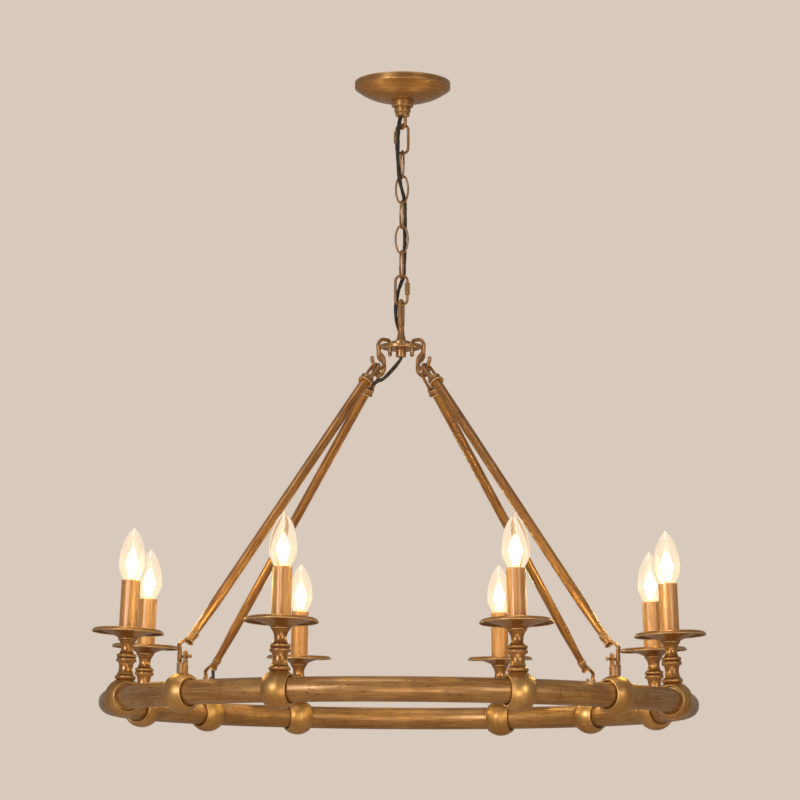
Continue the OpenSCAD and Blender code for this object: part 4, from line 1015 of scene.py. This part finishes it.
def hinge_post(r, w):
    """A post with a groove down each side, saddled on its collar, and two ears beside the pin."""
    half, seat = r.post_width / 2, w.ball_width / 2
    top = seat + r.post_height - 0.6
    z = np.array([seat - 3, seat - 2, seat + 1, seat + 5, seat + 9, top - 1.0, top - 0.3, top, top])[:, None]
    phi = circle(96)
    groove = np.exp(-((np.sin(phi) / 0.10) ** 2))
    body = np.array([1, 1, 1, 1, 1, 1, 0.95, 0.88, 0])[:, None]
    radius = (half - 0.9 * groove * (body == 1)) * body
    points = turned(radius, z, phi)
    grain = points * (1, 1, STRETCH)
    post = Surface().add(np.vstack([points[:1] * (0, 0, 1), points]), np.vstack([grain[:1], grain]),
                         np.vstack([0 * radius[:1], np.where(body == 1, -0.7 * groove, 0.5) + 0 * radius]))
    wide, near, far = 3.5, 4.8, 7.2
    eye = arc(0, seat + r.post_height + PIN_RISE + 4.9, wide, 0, 180, 15)
    ear = dense(outline((-wide, top - 2), (wide, top - 2), eye)[:-1], 1.5)
    return post.join(slab(ear, near, far)).join(slab(ear, -far, -near))


def hinge_pin(r, front):
    """A pin across the rod's foot, with a round end, and with a small head towards the front given."""
    half, reach = r.pin_width / 2, r.pin_reach
    line = outline((0, -9), arc(half - 0.5, -8.5, 0.5, -90, 0, 4), (half, reach - 2),
                   arc(half + 0.3, reach - 1.4, 0.4, -90, 0, 4), arc(half - 0.2, reach - 0.9, 0.9, 0, 90, 5),
                   (0, reach))
    pin = rod_line()[2]
    return lathe_open(line, 32).copies(shift(pin[0], 0, pin[1]) @ turn("X", 90 if front < 0 else -90))


def lathe_open(line, sides):
    """An outline that starts and ends on the Z axis, turned about it. The grain runs along the axis."""
    points = turned(line[:, :1], line[:, 1:], circle(sides))
    return Surface().add(points, points * (1, 1, STRETCH))


def pillar(c, w):
    """A turned pillar: a foot bead, a hollow vase, two beads, a long hollow neck and a disc."""
    r, neck, bore, top = c.pillar_radius, c.neck_radius, 4.4, c.pillar_height
    foot, bead = w.ball_width / 2 + 0.5, w.ball_width / 2 + 24.7
    second, slim = bead + 5.9, bead + 16.8
    vase_r, neck_r = 20, 16
    line = outline(
        (bore, foot - 6), (r - 3.1, foot - 6), arc(r - 3.1, foot, 3.1, -88, 72, 13),
        arc(neck + 1.2 + vase_r, foot + 13.5, vase_r, 180 + 27, 180 - 31, 21),
        arc(r - 3.8, bead, 3.3, -70, 62, 11), arc(r - 3.5, second, 2.7, -50, 80, 11),
        arc(neck + neck_r, slim, neck_r, 180 + 31, 180 - 38, 21),
        (r - 2.6, top - 2.9), arc(r - 2.6, top - 1.3, 1.3, -80, 90, 8), (bore, top))
    return lathe(dense(line, 1.2), 56)


def pan(c):
    """A drip pan: it climbs steeply from its seat, flattens, and rolls over and down to a beaded edge. Its
    height at radius r is the 0.72th power of the way out, and its upper side is the same line one sheet
    higher."""
    bore, seat, crest = 4.4, 13.4, c.pan_width / 2 - 4.6
    top, rise = c.pillar_height, c.pan_height - c.pan_sheet
    out = np.linspace(0, 1, 34) ** 1.3
    under = np.stack([seat + (crest - seat) * out, top + rise * out**0.72], 1)
    roll = np.radians(np.linspace(0, 84, 10)[1:])
    rim = np.stack([crest + 4.0 * np.sin(roll), top + rise - 3.6 * (1 - np.cos(roll))], 1)
    lower = outline((bore, top), under, rim)
    slope = np.gradient(lower, axis=0)
    normal = np.stack([-slope[:, 1], slope[:, 0]], 1) / np.linalg.norm(slope, axis=1, keepdims=True)
    upper = lower + normal * c.pan_sheet
    upper[0] = bore, top + c.pan_sheet
    heading = math.degrees(math.atan2(slope[-1, 1], slope[-1, 0]))
    bead = arc(*(lower[-1] + upper[-1]) / 2, 1.05, heading - 120, heading + 120, 13)
    return lathe(dense(outline(lower[:-1], bead, upper[:-1][::-1]), 2.4), 112)


def sleeve(c):
    """A candle sleeve: a thin tube with a rounded rim, whose wall waves a little, as dipped wax does."""
    low = c.pillar_height + c.pan_sheet
    high = low + c.sleeve_length
    r, edge, rows = c.sleeve_width / 2, 0.5, 30
    bore = r - c.sleeve_wall
    rim = arc(r - edge, high - edge, edge, 0, 180, 7)[:-1]
    z = np.concatenate([np.linspace(low, high - 0.6, rows), rim[:, 1], [high - 1.0, low]])[:, None]
    base = np.concatenate([np.full(rows, r), rim[:, 0], [bore, bore]])[:, None]
    phi = circle(112)
    wave = 0.10 * np.sin(7 * phi + 0.02 * z) + 0.07 * np.sin(17 * phi + 1.3)
    wave = wave + 0.05 * np.sin(31 * phi + 0.03 * z)
    points = turned(base + np.where(base > r - 0.2, wave - 0.18, 0), z, phi)
    relief = np.concatenate([np.zeros(rows - 1), [0.5], np.full(len(rim), 0.9), [0.3, 0]])
    return Surface().add(points, points * (1, 1, STRETCH), relief, loop=True)


def flame(b, height):
    """Radius of the glass at a height over the mouth: below the widest place it swells with a power of a
    cosine, and above it the radius falls with the 2.2nd power of the way up, to a blunt tip."""
    neck, low = b.base_width / 2 + 0.2, -8.0
    up = np.clip((height - b.wide_at) / (b.height - b.wide_at), 0, 1)
    upper = b.width / 2 * (1 - up**2.2) ** 0.8
    down = np.clip((b.wide_at - height) / (b.wide_at - low), 0, 1)
    lower = neck + (b.width / 2 - neck) * np.cos(np.pi / 2 * down) ** 1.142
    return np.where(height > b.wide_at, upper, lower)


def bulb_shell(b, mouth):
    """The glass: the flame outline, the same drawn in by the wall, and a small pip on its tip."""
    low = np.linspace(-8, b.wide_at, 22)[:-1]
    climb = b.wide_at + (b.height - 0.4 - b.wide_at) * np.sin(np.linspace(0, np.pi / 2, 40))
    height = np.concatenate([low, climb])
    pip = 0.75 * np.exp(-(((b.height - 1.6 - height) / 1.5) ** 2))
    outer = flame(b, height) + pip
    outer[-1] = 0
    inner = np.maximum(flame(b, height[:-3]) - b.glass, 0)
    inner[-1] = 0
    rows = np.concatenate([np.stack([outer, height], 1)[::-1], np.stack([inner, height[:-3]], 1)])
    return lathe_open(rows + (0, mouth), 64)


def bulb_cap(b, mouth):
    """The screw base: a domed contact, and a thread whose radius is a wave of the height less the turn."""
    top, low, sides = -8.1, -30.0, 48
    z = np.linspace(low, top, 90)[:, None]
    phi = circle(sides)
    fade = np.clip((z - low) / 2, 0, 1) * np.clip((top - 2.4 - z) / 1.5, 0, 1)
    thread = 0.5 * (1 + np.cos(2 * np.pi * z / b.pitch - phi))
    radius = b.base_width / 2 - 1.1 + 1.0 * fade * thread + np.clip((z - top + 2.4) / 0.6, 0, 1)
    contact = np.repeat([[0], [2.4], [4.2], [5.2]], sides, 1)
    level = np.concatenate([[-33.4, -33.2, -31.2, -30.2], z[:, 0], [top]])[:, None]
    points = turned(np.vstack([contact, radius, np.zeros((1, sides))]), level + mouth, phi)
    return Surface().add(points, points * (1, 1, STRETCH))


def bulb_stem(mouth):
    """The glass post inside a bulb, wide at its foot and drawn thin, with a button on top."""
    line = outline((0, -8), (4.6, -8), (3.6, -4), (2.0, 4), (1.3, 8), (1.3, 9), arc(0, 10.4, 1.8, -50, 90, 8))
    line[-1, 0] = 0
    return lathe_open(line + (0, mouth), 24)


def bulb_filaments(b, mouth):
    """Lit wires: each rises from the post, bows out by a sine of its height, and ends near the top."""
    t = np.linspace(0, 1, 30)
    out = 1.4 + 5.2 * np.sin(np.pi * t**0.8) ** 0.8
    wires = Surface()
    for k in range(b.filaments):
        swing = 2 * math.pi * k / b.filaments + 0.5 * t
        path = turned(out, mouth + 5 + 39 * t, swing)
        path, radii = domed(path, 0.85, steps=4)
        wires.join(sweep(path, radii, side=(0.3, 1, 0.1), sides=10))
    return wires


def twisted_cord(c, path, start):
    """A two-strand cord: the section's radius is a dumb-bell that turns once in each lay, measured along the
    cord. The path begins at the distance start from the cord's own end."""
    width, lay, groove = c.width, c.lay, c.groove
    side, up = square_to(path, (0.9, -0.42, 0.12))
    run = start + distances(path)[:, None]
    phi = circle(28)
    lobe = np.abs(np.cos(phi - 2 * np.pi * run / lay))
    radius = width / 2 * (1 - groove * (1 - lobe) ** 1.5)
    out = np.cos(phi)[..., None] * side[:, None] + np.sin(phi)[..., None] * up[:, None]
    points = path[:, None] + radius[..., None] * out
    ends = np.stack([np.broadcast_to(path[0], points[0].shape), np.broadcast_to(path[-1], points[0].shape)])
    points = np.concatenate([ends[:1], points, ends[1:]])
    radius = np.vstack([0 * radius[:1], radius, 0 * radius[:1]])
    run = np.vstack([run[:1], run, run[-1:]])
    grain = np.stack([run / 17 + 0 * phi, (phi - 2 * np.pi * run / lay) / (2 * np.pi), 0 * radius], -1)
    relief = -np.clip((1 - np.vstack([lobe[:1], lobe, lobe[-1:]])) * 1.6 - 0.5, 0, 1)
    return Surface().add(points, grain, relief)


# The upper cord's way round the chain: X and Y in millimetres, and the share of the way down from the stem's
# rim to the hub, in hundredths.
CORD_ROUTE = (
    (-0.6, -0.9, 0), (-2.2, -3.2, 1.8), (-3.9, -5.9, 3.4), (-4.9, -7.7, 5.4), (-5.6, -8.3, 8),
    (-6.2, -8.4, 12), (-6.6, -8.4, 16), (-6.4, -8.1, 20), (-5.5, -7.8, 24), (-4.5, -7.2, 27),
    (-3.4, -6.3, 29), (-1.8, -3.3, 31.4), (0.5, 0.2, 33.8), (2.7, 3.2, 36), (4.1, 5.7, 38.4),
    (4.8, 6.5, 42), (4.7, 6.4, 47), (4.4, 6.1, 52), (4.4, 6.1, 57), (4.3, 6.5, 61),
    (4, 7.5, 64.5), (3.7, 8.6, 68), (2.6, 9.5, 70), (0.6, 9.7, 72), (-4, 8.4, 76),
    (-7.1, 7.5, 80.6), (-8.1, 7, 85), (-7.2, 7.8, 88.4), (-4.6, 9.2, 91.2), (-2, 8.5, 93.6),
    (0, 4.3, 96), (0, 0.4, 98), (0, 0, 99))


def cord_piece(c, line, first, last, name):
    """The cord between two points of its line, with the finish of braided cord."""
    piece = twisted_cord(c, line[first:last + 1], distances(line)[first]).mesh(name, finish("cord_braid"))
    return piece


# ---- Operators ----

class CHANDELIER_OT_cords(bpy.types.Operator):
    """Builds the cord beside the chain and the cord in the rear left rod"""
    bl_idname = "chandelier.cords"
    bl_label = "Cords"

    def execute(self, context):
        c = sizes("cords")
        self.beside_chain(c)
        self.through_rod(c)
        return {"FINISHED"}

    def beside_chain(self, c):
        """The upper cord, in one piece for each joint of the chain."""
        bell, half_blend = span("canopy_ring_nut")[0][2], 9
        rim, top = bell - sizes("ceiling").bell_height, plate_heights()[1]
        beside = [(x, y, rim - (rim - top) * down / 100) for x, y, down in CORD_ROUTE]
        line = curve([(0, 0, bell + 2), (0, 0, rim + 4)] + beside, 420)
        joints = joint_heights()
        bodies = ["ceiling_fitting"] + CHAIN_BODIES + ["wheel"]
        cuts = [line[0, 2] + 1] + [(a + b) / 2 for a, b in zip(joints, joints[1:])] + [line[-1, 2] - 1]
        for k, level in enumerate(joints):
            inside = np.flatnonzero((line[:, 2] <= cuts[k]) & (line[:, 2] >= cuts[k + 1]))
            piece = cord_piece(c, line, max(inside[0] - 1, 0), inside[-1] + 1, f"upper_cord_run_{k + 1}")
            bodies[k + 1]
            (level + half_blend) / 1000
            (level - half_blend) / 1000
            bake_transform(piece)
            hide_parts("upper_cord")

    def through_rod(self, c):
        """The lower cord: out of the hub's nut, into the ferrule, through the rear left rod and down to the
        wheel."""
        top, foot, _ = rod_line()
        axis = (foot - top) / np.linalg.norm(foot - top)
        nut = span("hub_nut")[0][2]
        cup = top + sizes("rods").bail_height * axis
        wheel = sizes("wheel")
        hole = np.array([wheel.wheel_width / 2 - 11.6, wheel_level() + wheel.tube_width / 2 - 3])
        route = np.vstack([
            [(0, plate_heights()[0]), (0, nut - 1)],
            [(x, nut + z) for x, z in ((3, -5.4), (12, -12.6), (25, -21.6), (36, -28))],
            [cup + p for p in ((-21, 7.4), (-10.8, 4.5), (-4.4, 1.9))], [cup + s * axis for s in (1, 6)],
            [cup + s * (foot - cup) for s in np.linspace(0.1, 0.9, 9)],
            [foot - 6 * axis, foot + 4 * axis, foot + 11 * axis, hole + (-0.2, 36), hole + (0, 26), hole]])
        spin = turn("Z", SIDE_ANGLES[1])[:3, :3]
        line = in_plane(curve(route, 760)) @ spin.T
        reach = np.hypot(line[:, 0], line[:, 1])
        low, high = np.searchsorted(reach, cup[0] + 30 * axis[0]), np.searchsorted(reach, foot[0] - 30)
        runs = (("from_hub", 0, low), ("in_rod", low, high), ("to_wheel", high, len(line) - 1))
        upper, inside, lower = [cord_piece(c, line, *ends, f"lower_cord_{name}") for name, *ends in runs]
        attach(inside, "rod_rear_left")
        for piece, bodies, near, far in (
                (upper, ("wheel", "rod_rear_left"), (3, nut - 6), cup),
                (lower, ("rod_rear_left", "wheel"), foot + (-12, 10), hole + (0, 8))):
            start, end = [tuple(spin @ (x, 0, z) / 1000) for x, z in (near, far)]
            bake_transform(piece)
        for piece in (upper, inside, lower):
            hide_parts("lower_cord")


class CHANDELIER_OT_ceiling(bpy.types.Operator):
    """Builds the canopy, its ring nut and the stem with its loop, and finishes the fittings behind them"""
    bl_idname = "chandelier.ceiling"
    bl_label = "Canopy and stem"

    def execute(self, context):
        c, bronze = sizes("ceiling"), finish("canopy_bronze")
        low, high = [corner[2] for corner in span("canopy_ring_nut")]
        place(canopy_shell(c), "canopy_shell", bronze, "canopy", "dark_bronze", "canopy")
        half, bore, edge = c.nut_width / 2, c.neck_width / 2 + 0.25, 1.3
        line = outline((bore, low), arc(half - edge, low + edge, edge, -90, 0, 7),
                       arc(half - edge, high - edge, edge, 0, 90, 7), (bore, high))
        place(lathe(dense(line, 0.9), 96), "ring_nut", bronze, "canopy", "dark_bronze", "canopy_ring_nut")
        rim = low - c.bell_height
        stem = stem_shell(c, low, rim)
        ring = span("stem_loop")[0][2] + c.loop_wire / 2 + c.loop_radius
        stem.join(ring_loop(c.loop_radius, ring, rim - 3.4, c.loop_wire, True).copies(turn("Z", c.loop_turn)))
        stem.join(wire_ring(4.1, 0.8).copies(shift(-0.9, -1.3, rim - 5.0) @ turn("X", 12)))
        place(stem, "stem_and_loop", bronze, "ceiling_fitting", "dark_bronze", "stem_loop")
        for node in ("mounting_strap", "ceiling_nipple", "nipple_nuts"):
            dress(node, "zinc_plate")
        dress("ground_screw", "green_screw")
        return {"FINISHED"}


def wire_ring(r, wire):
    """A thin flat ring of wire."""
    return sweep(turned(r, 0, circle(40))[0], wire, side=(0, 0, 1), sides=12, loop=True)


def dress(node, name):
    """Gives a frame node that stays as it is a finish, on every slot that it has."""
    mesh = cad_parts[node].data
    if not mesh.materials:
        mesh.materials.append(None)
    for k in range(len(mesh.materials)):
        mesh.materials[k] = finish(name)


class CHANDELIER_OT_chain(bpy.types.Operator):
    """Builds the five oval links, the two quick links and their long nuts"""
    bl_idname = "chandelier.chain"
    bl_label = "Chain"

    def execute(self, context):
        c, bronze = sizes("chain"), finish("wire_bronze")
        for k in LINKS:
            link = f"chain_link_{k}"
            spot = shift(z=sum(span(link))[2] / 2) @ turn("Z", -c.twist if k % 2 else 0)
            place(oval_link(c).copies(spot), f"oval_link_{k}", bronze, link, "aged_bronze", link)
        leg = (c.quick_width - c.quick_wire) / 2
        for end, side in (("upper", -1), ("lower", 1)):
            link = f"{end}_quick_link"
            spot = shift(z=sum(span(link))[2] / 2)
            place(quick_link(c).copies(spot), f"{end}_oblong_link", bronze, link, "aged_bronze", link)
            place(long_nut(c).copies(spot @ shift(side * leg)), f"{end}_long_nut", bronze, f"{end}_link_nut",
                  "aged_bronze", f"{end}_link_nut")
        return {"FINISHED"}


class CHANDELIER_OT_hub(bpy.types.Operator):
    """Builds the hub's loop, plate and nut, and the four S-hooks"""
    bl_idname = "chandelier.hub"
    bl_label = "Hub and hooks"

    def execute(self, context):
        h, bronze = sizes("hub"), finish("wire_bronze")
        low, top = plate_heights()
        wire, r = h.loop_wire, h.loop_radius
        bar = span("hub_loop")[1][2] - wire
        bottom = bar - h.loop_height
        loop = ring_loop(r, bottom - wire / 2 + r, bar + wire / 2 - r, wire, False)
        hub = hub_bell(h, top, bottom - wire / 2 - 1).join(loop.copies(turn("Z", sizes("chain").twist)))
        place(hub, "hub_and_loop", bronze, "wheel", "aged_bronze", "hub_loop")
        place(disc(h.plate_width / 2, 5.2, low, top), "hub_disc", bronze, "wheel", "aged_bronze", "hub_plate")
        nut = span("hub_nut")[0][2]
        place(disc(h.nut_width / 2, 3.8, nut, low, 1.2, 64), "plate_nut", bronze, "wheel", "aged_bronze",
              "hub_nut")
        hooks = hook_bar(h, hook_line()[0]).copies(*[turn("Z", a) for a in SIDE_ANGLES])
        place(hooks, "four_s_hooks", bronze, "wheel", "aged_bronze", "s_hooks")
        dress("hub_nipple", "zinc_plate")
        return {"FINISHED"}


class CHANDELIER_OT_rods(bpy.types.Operator):
    """Builds each rod with its bail, ferrule and foot strap, and the posts and pins that it stands on"""
    bl_idname = "chandelier.rods"
    bl_label = "Rods"

    def execute(self, context):
        r, w = sizes("rods"), sizes("wheel")
        bronze, wire = finish("rod_bronze"), finish("wire_bronze")
        top, foot, pin = rod_line()
        size = np.linalg.norm(foot - top)
        axis = (foot - top) / size
        for side, around in zip(SIDE_NAMES, SIDE_ANGLES):
            spin = turn("Z", around)
            tube = rod_tube(r, size).copies(spin @ along_rod())
            tube.join(foot_strap(foot, pin, axis).copies(spin))
            place(tube, f"rod_and_strap_{side}", bronze, f"rod_{side}", "aged_bronze", f"rod_{side}")
            head = ferrule(r).join(bail(r).copies(turn("Z", 90))).copies(spin @ along_rod())
            place(head, f"bail_and_ferrule_{side}", wire, f"rod_{side}", "aged_bronze", f"rod_bail_{side}")
        posts = hinge_post(r, w).copies(*round_wheel(SIDE_ANGLES))
        place(posts, "four_hinge_posts", wire, "wheel", "aged_bronze", "hinge_posts")
        pins = Surface()
        for side, around in zip(SIDE_NAMES, SIDE_ANGLES):
            pins.join(hinge_pin(r, -1 if side.endswith("right") else 1).copies(turn("Z", around)))
        place(pins, "four_hinge_pins", wire, "wheel", "aged_bronze", "hinge_pins")
        return {"FINISHED"}


class CHANDELIER_OT_wheel(bpy.types.Operator):
    """Builds the two halves of the wheel's tube and the twelve ball collars"""
    bl_idname = "chandelier.wheel"
    bl_label = "Wheel"

    def execute(self, context):
        w = sizes("wheel")
        for name, start in (("left", w.seam), ("right", w.seam + 180)):
            place(tube_half(w, start), f"tube_half_{name}", finish("tube_bronze"), "wheel", "aged_bronze",
                  f"wheel_half_{name}")
        for name, angles, node in (("eight_candle_balls", LAMP_ANGLES, "candle_collars"),
                                   ("four_rod_balls", SIDE_ANGLES, "rod_collars")):
            balls = ball_collar(w).copies(*round_wheel(angles))
            place(balls, name, finish("collar_gold"), "wheel", "gold_ball", node)
        dress("wheel_joiners", "zinc_plate")
        return {"FINISHED"}


class CHANDELIER_OT_candles(bpy.types.Operator):
    """Builds the turned pillars, drip pans and candle sleeves"""
    bl_idname = "chandelier.candles"
    bl_label = "Candles"

    def execute(self, context):
        w, c = sizes("wheel"), sizes("candles")
        spots = round_wheel(LAMP_ANGLES, c.lean)
        for surface, name, look, node in ((pillar(c, w), "eight_pillars", "turned_bronze", "candle_pillars"),
                                          (pan(c), "eight_drip_pans", "turned_bronze", "drip_pans"),
                                          (sleeve(c), "eight_sleeves", "sleeve_tan", "candle_sleeves")):
            place(surface.copies(*spots), name, finish(look), "wheel", "aged_bronze", node)
        dress("candle_nipples", "zinc_plate")
        dress("lamp_sockets", "holder_cream")
        return {"FINISHED"}


class CHANDELIER_OT_bulbs(bpy.types.Operator):
    """Builds the eight bulbs: glass, screw base, inner post and lit filaments"""
    bl_idname = "chandelier.bulbs"
    bl_label = "Bulbs"

    def execute(self, context):
        b, mouth = sizes("bulbs"), mouth_height()
        glow = tone(tuple(context.scene.chandelier.colours.glow), 1.0, 0.45)
        for k, spot in enumerate(round_wheel(LAMP_ANGLES, sizes("candles").lean), 1):
            body = f"bulb_{k}"
            glass = place(bulb_shell(b, mouth).copies(spot), f"glass_{k}", finish("bulb_glass"), body,
                          "clear_glass", f"bulb_glass_{k}")
            place(bulb_cap(b, mouth).copies(spot), f"screw_base_{k}", finish("cap_brass"), body, "bulb_cap",
                  f"bulb_base_{k}")
            inner = place(bulb_stem(mouth).copies(spot), f"glass_post_{k}", finish("bulb_glass"), body,
                          "clear_glass")
            wires = place(bulb_filaments(b, mouth).copies(spot), f"filaments_{k}", finish("filament"), body,
                          "clear_glass")
            for piece in (glass, inner, wires):
                piece.visible_shadow = False
            light = bpy.data.lights.new(f"bulb_light_{k}", "POINT")
            light.energy, light.color, light.shadow_soft_size = b.lamp_power, glow, 0.010
            lamp = bpy.data.objects.new(f"bulb_light_{k}", light)
            lamp.location = (spot @ np.array([0, 0, mouth + 24, 1]))[:3] / 1000
            context.scene.collection.objects.link(lamp)
        return {"FINISHED"}


class CHANDELIER_OT_stage(bpy.types.Operator):
    """Sets up the camera, the plain floor and backdrop, and the soft studio light"""
    bl_idname = "chandelier.stage"
    bl_label = "Stage"

    def execute(self, context):
        ground = tuple(context.scene.chandelier.colours.backdrop)
        self.camera(context.scene)
        floor = floor_disc(7.0, -1.42)
        floor.data.materials.append(stage_finish("stage_floor", ground))
        self.backdrop(context.scene, ground)
        for name, spot, aim, width, power, tint in (
                ("window_light", (-2.4, -3.4, -0.1), (0, 0, -0.8), 1.7, 68, (0.95, 0.97, 1.0)),
                ("fill_light", (2.4, -3.2, -0.3), (0, 0, -0.8), 1.5, 27, (1.0, 0.95, 0.88)),
                ("top_light", (-0.6, -0.9, 2.4), (0, 0, -0.7), 1.4, 14, (1.0, 0.93, 0.84)),
                ("bounce_light", (0.2, -1.6, -1.3), (0, 0, -0.3), 0.8, 6, (1.0, 0.86, 0.66))):
            light = bpy.data.lights.new(name, "AREA")
            light.shape, light.size, light.energy, light.color = "DISK", width, power, tint
            lamp = bpy.data.objects.new(name, light)
            lamp.location = spot
            lamp.rotation_euler = (Vector(spot) - Vector(aim)).to_track_quat("Z", "Y").to_euler()
            context.scene.collection.objects.link(lamp)
        return {"FINISHED"}

    def camera(self, scene):
        """The camera at the photograph's own place. It looks up a little, and it is rolled by a third of a
        degree."""
        picture_width, focal = 800, 3258.5
        pitch, yaw, roll = math.radians(8.257), 0.0017, math.radians(0.354)
        ahead = np.array([-math.sin(yaw), math.cos(yaw), 0])
        across = np.array([math.cos(yaw), math.sin(yaw), 0])
        forward = ahead * math.cos(pitch) + (0, 0, math.sin(pitch))
        above = -ahead * math.sin(pitch) + (0, 0, math.cos(pitch))
        right = across * math.cos(roll) + above * math.sin(roll)
        upward = -across * math.sin(roll) + above * math.cos(roll)
        camera = bpy.data.objects.new("camera", bpy.data.cameras.new("camera"))
        camera.data.sensor_width, camera.data.lens = 36.0, 36.0 * focal / picture_width
        camera.data.clip_end = 60
        matrix = np.eye(4)
        matrix[:3] = np.stack([right, upward, -forward, (0.0069, -4.663, -1.147)], 1)
        camera.matrix_world = Matrix(matrix.tolist())
        scene.collection.objects.link(camera)
        scene.camera = camera

    def backdrop(self, scene, ground):
        """The world: a soft light on the pieces, and the plain ground colour where the camera sees it."""
        scene.view_settings.view_transform = "Standard"
        world = bpy.data.worlds.new("studio")
        scene.world = world
        world.use_nodes = True
        tree = world.node_tree
        tree.nodes.clear()
        path = tree.nodes.new("ShaderNodeLightPath")
        seen = tree.nodes.new("ShaderNodeMath")
        seen.operation = "MAXIMUM"
        tree.links.new(path.outputs["Is Camera Ray"], seen.inputs[0])
        tree.links.new(path.outputs["Is Transmission Ray"], seen.inputs[1])
        pale, soft = tree.nodes.new("ShaderNodeBackground"), tree.nodes.new("ShaderNodeBackground")
        pale.inputs["Color"].default_value = (*ground, 1)
        soft.inputs["Color"].default_value = (1.0, 0.96, 0.91, 1)
        soft.inputs["Strength"].default_value = 0.28
        mix = tree.nodes.new("ShaderNodeMixShader")
        tree.links.new(seen.outputs[0], mix.inputs[0])
        tree.links.new(soft.outputs[0], mix.inputs[1])
        tree.links.new(pale.outputs[0], mix.inputs[2])
        out = tree.nodes.new("ShaderNodeOutputWorld")
        tree.links.new(mix.outputs[0], out.inputs["Surface"])


def floor_disc(radius, level):
    """A flat round floor: rings of points at growing distances, so that it shades evenly."""
    sides = 64
    rings = np.array([0, 0.4, 1.0, 2.0, 3.5, 5.0, radius])[:, None]
    points = turned(rings, level + 0 * rings, circle(sides)).reshape(-1, 3)
    here, left = np.arange(len(rings) - 1)[:, None] * sides, np.arange(sides)
    right = (left + 1) % sides
    corners = here + left, here + sides + left, here + sides + right, here + right
    quads = np.stack(corners, -1)
    mesh = bpy.data.meshes.new("floor")
    mesh.from_pydata(points.tolist(), [], quads.reshape(-1, 4).tolist())
    floor = bpy.data.objects.new("floor", mesh)
    bpy.context.scene.collection.objects.link(floor)
    return floor


class CHANDELIER_PT_pieces(bpy.types.Panel):
    """Lists the chandelier's pieces and their sizes"""
    bl_label = "Wagon wheel chandelier"
    bl_space_type = "VIEW_3D"
    bl_region_type = "UI"
    bl_category = "Chandelier"

    def draw(self, context):
        settings = context.scene.chandelier
        for operator, group in zip(OPERATORS, GROUPS):
            box = self.layout.box()
            box.operator(operator.bl_idname)
            for prop in own_properties(getattr(settings, group)):
                box.prop(getattr(settings, group), prop.identifier)


OPERATORS = (
    CHANDELIER_OT_stage, CHANDELIER_OT_cords, CHANDELIER_OT_ceiling, CHANDELIER_OT_chain, CHANDELIER_OT_hub,
    CHANDELIER_OT_rods, CHANDELIER_OT_wheel, CHANDELIER_OT_candles, CHANDELIER_OT_bulbs)
GROUPS = ("colours", "cords", "ceiling", "chain", "hub", "rods", "wheel", "candles", "bulbs")
CLASSES = (
    CeilingSizes, ChainSizes, HubSizes, RodSizes, WheelSizes, CandleSizes, BulbSizes, CordSizes,
    FinishColours, ChandelierSettings, *OPERATORS, CHANDELIER_PT_pieces)


def register():
    for made in CLASSES:
        bpy.utils.register_class(made)
    bpy.types.Scene.chandelier = PointerProperty(
        type=ChandelierSettings, name="Chandelier", description="Sizes and colours of the chandelier")


def unregister():
    del bpy.types.Scene.chandelier
    for made in reversed(CLASSES):
        bpy.utils.unregister_class(made)


def main():
    """Builds every piece."""
    register()
    for operator in OPERATORS:
        group, name = operator.bl_idname.split(".")
        getattr(getattr(bpy.ops, group), name)()


if __name__ == "__main__":
    main()
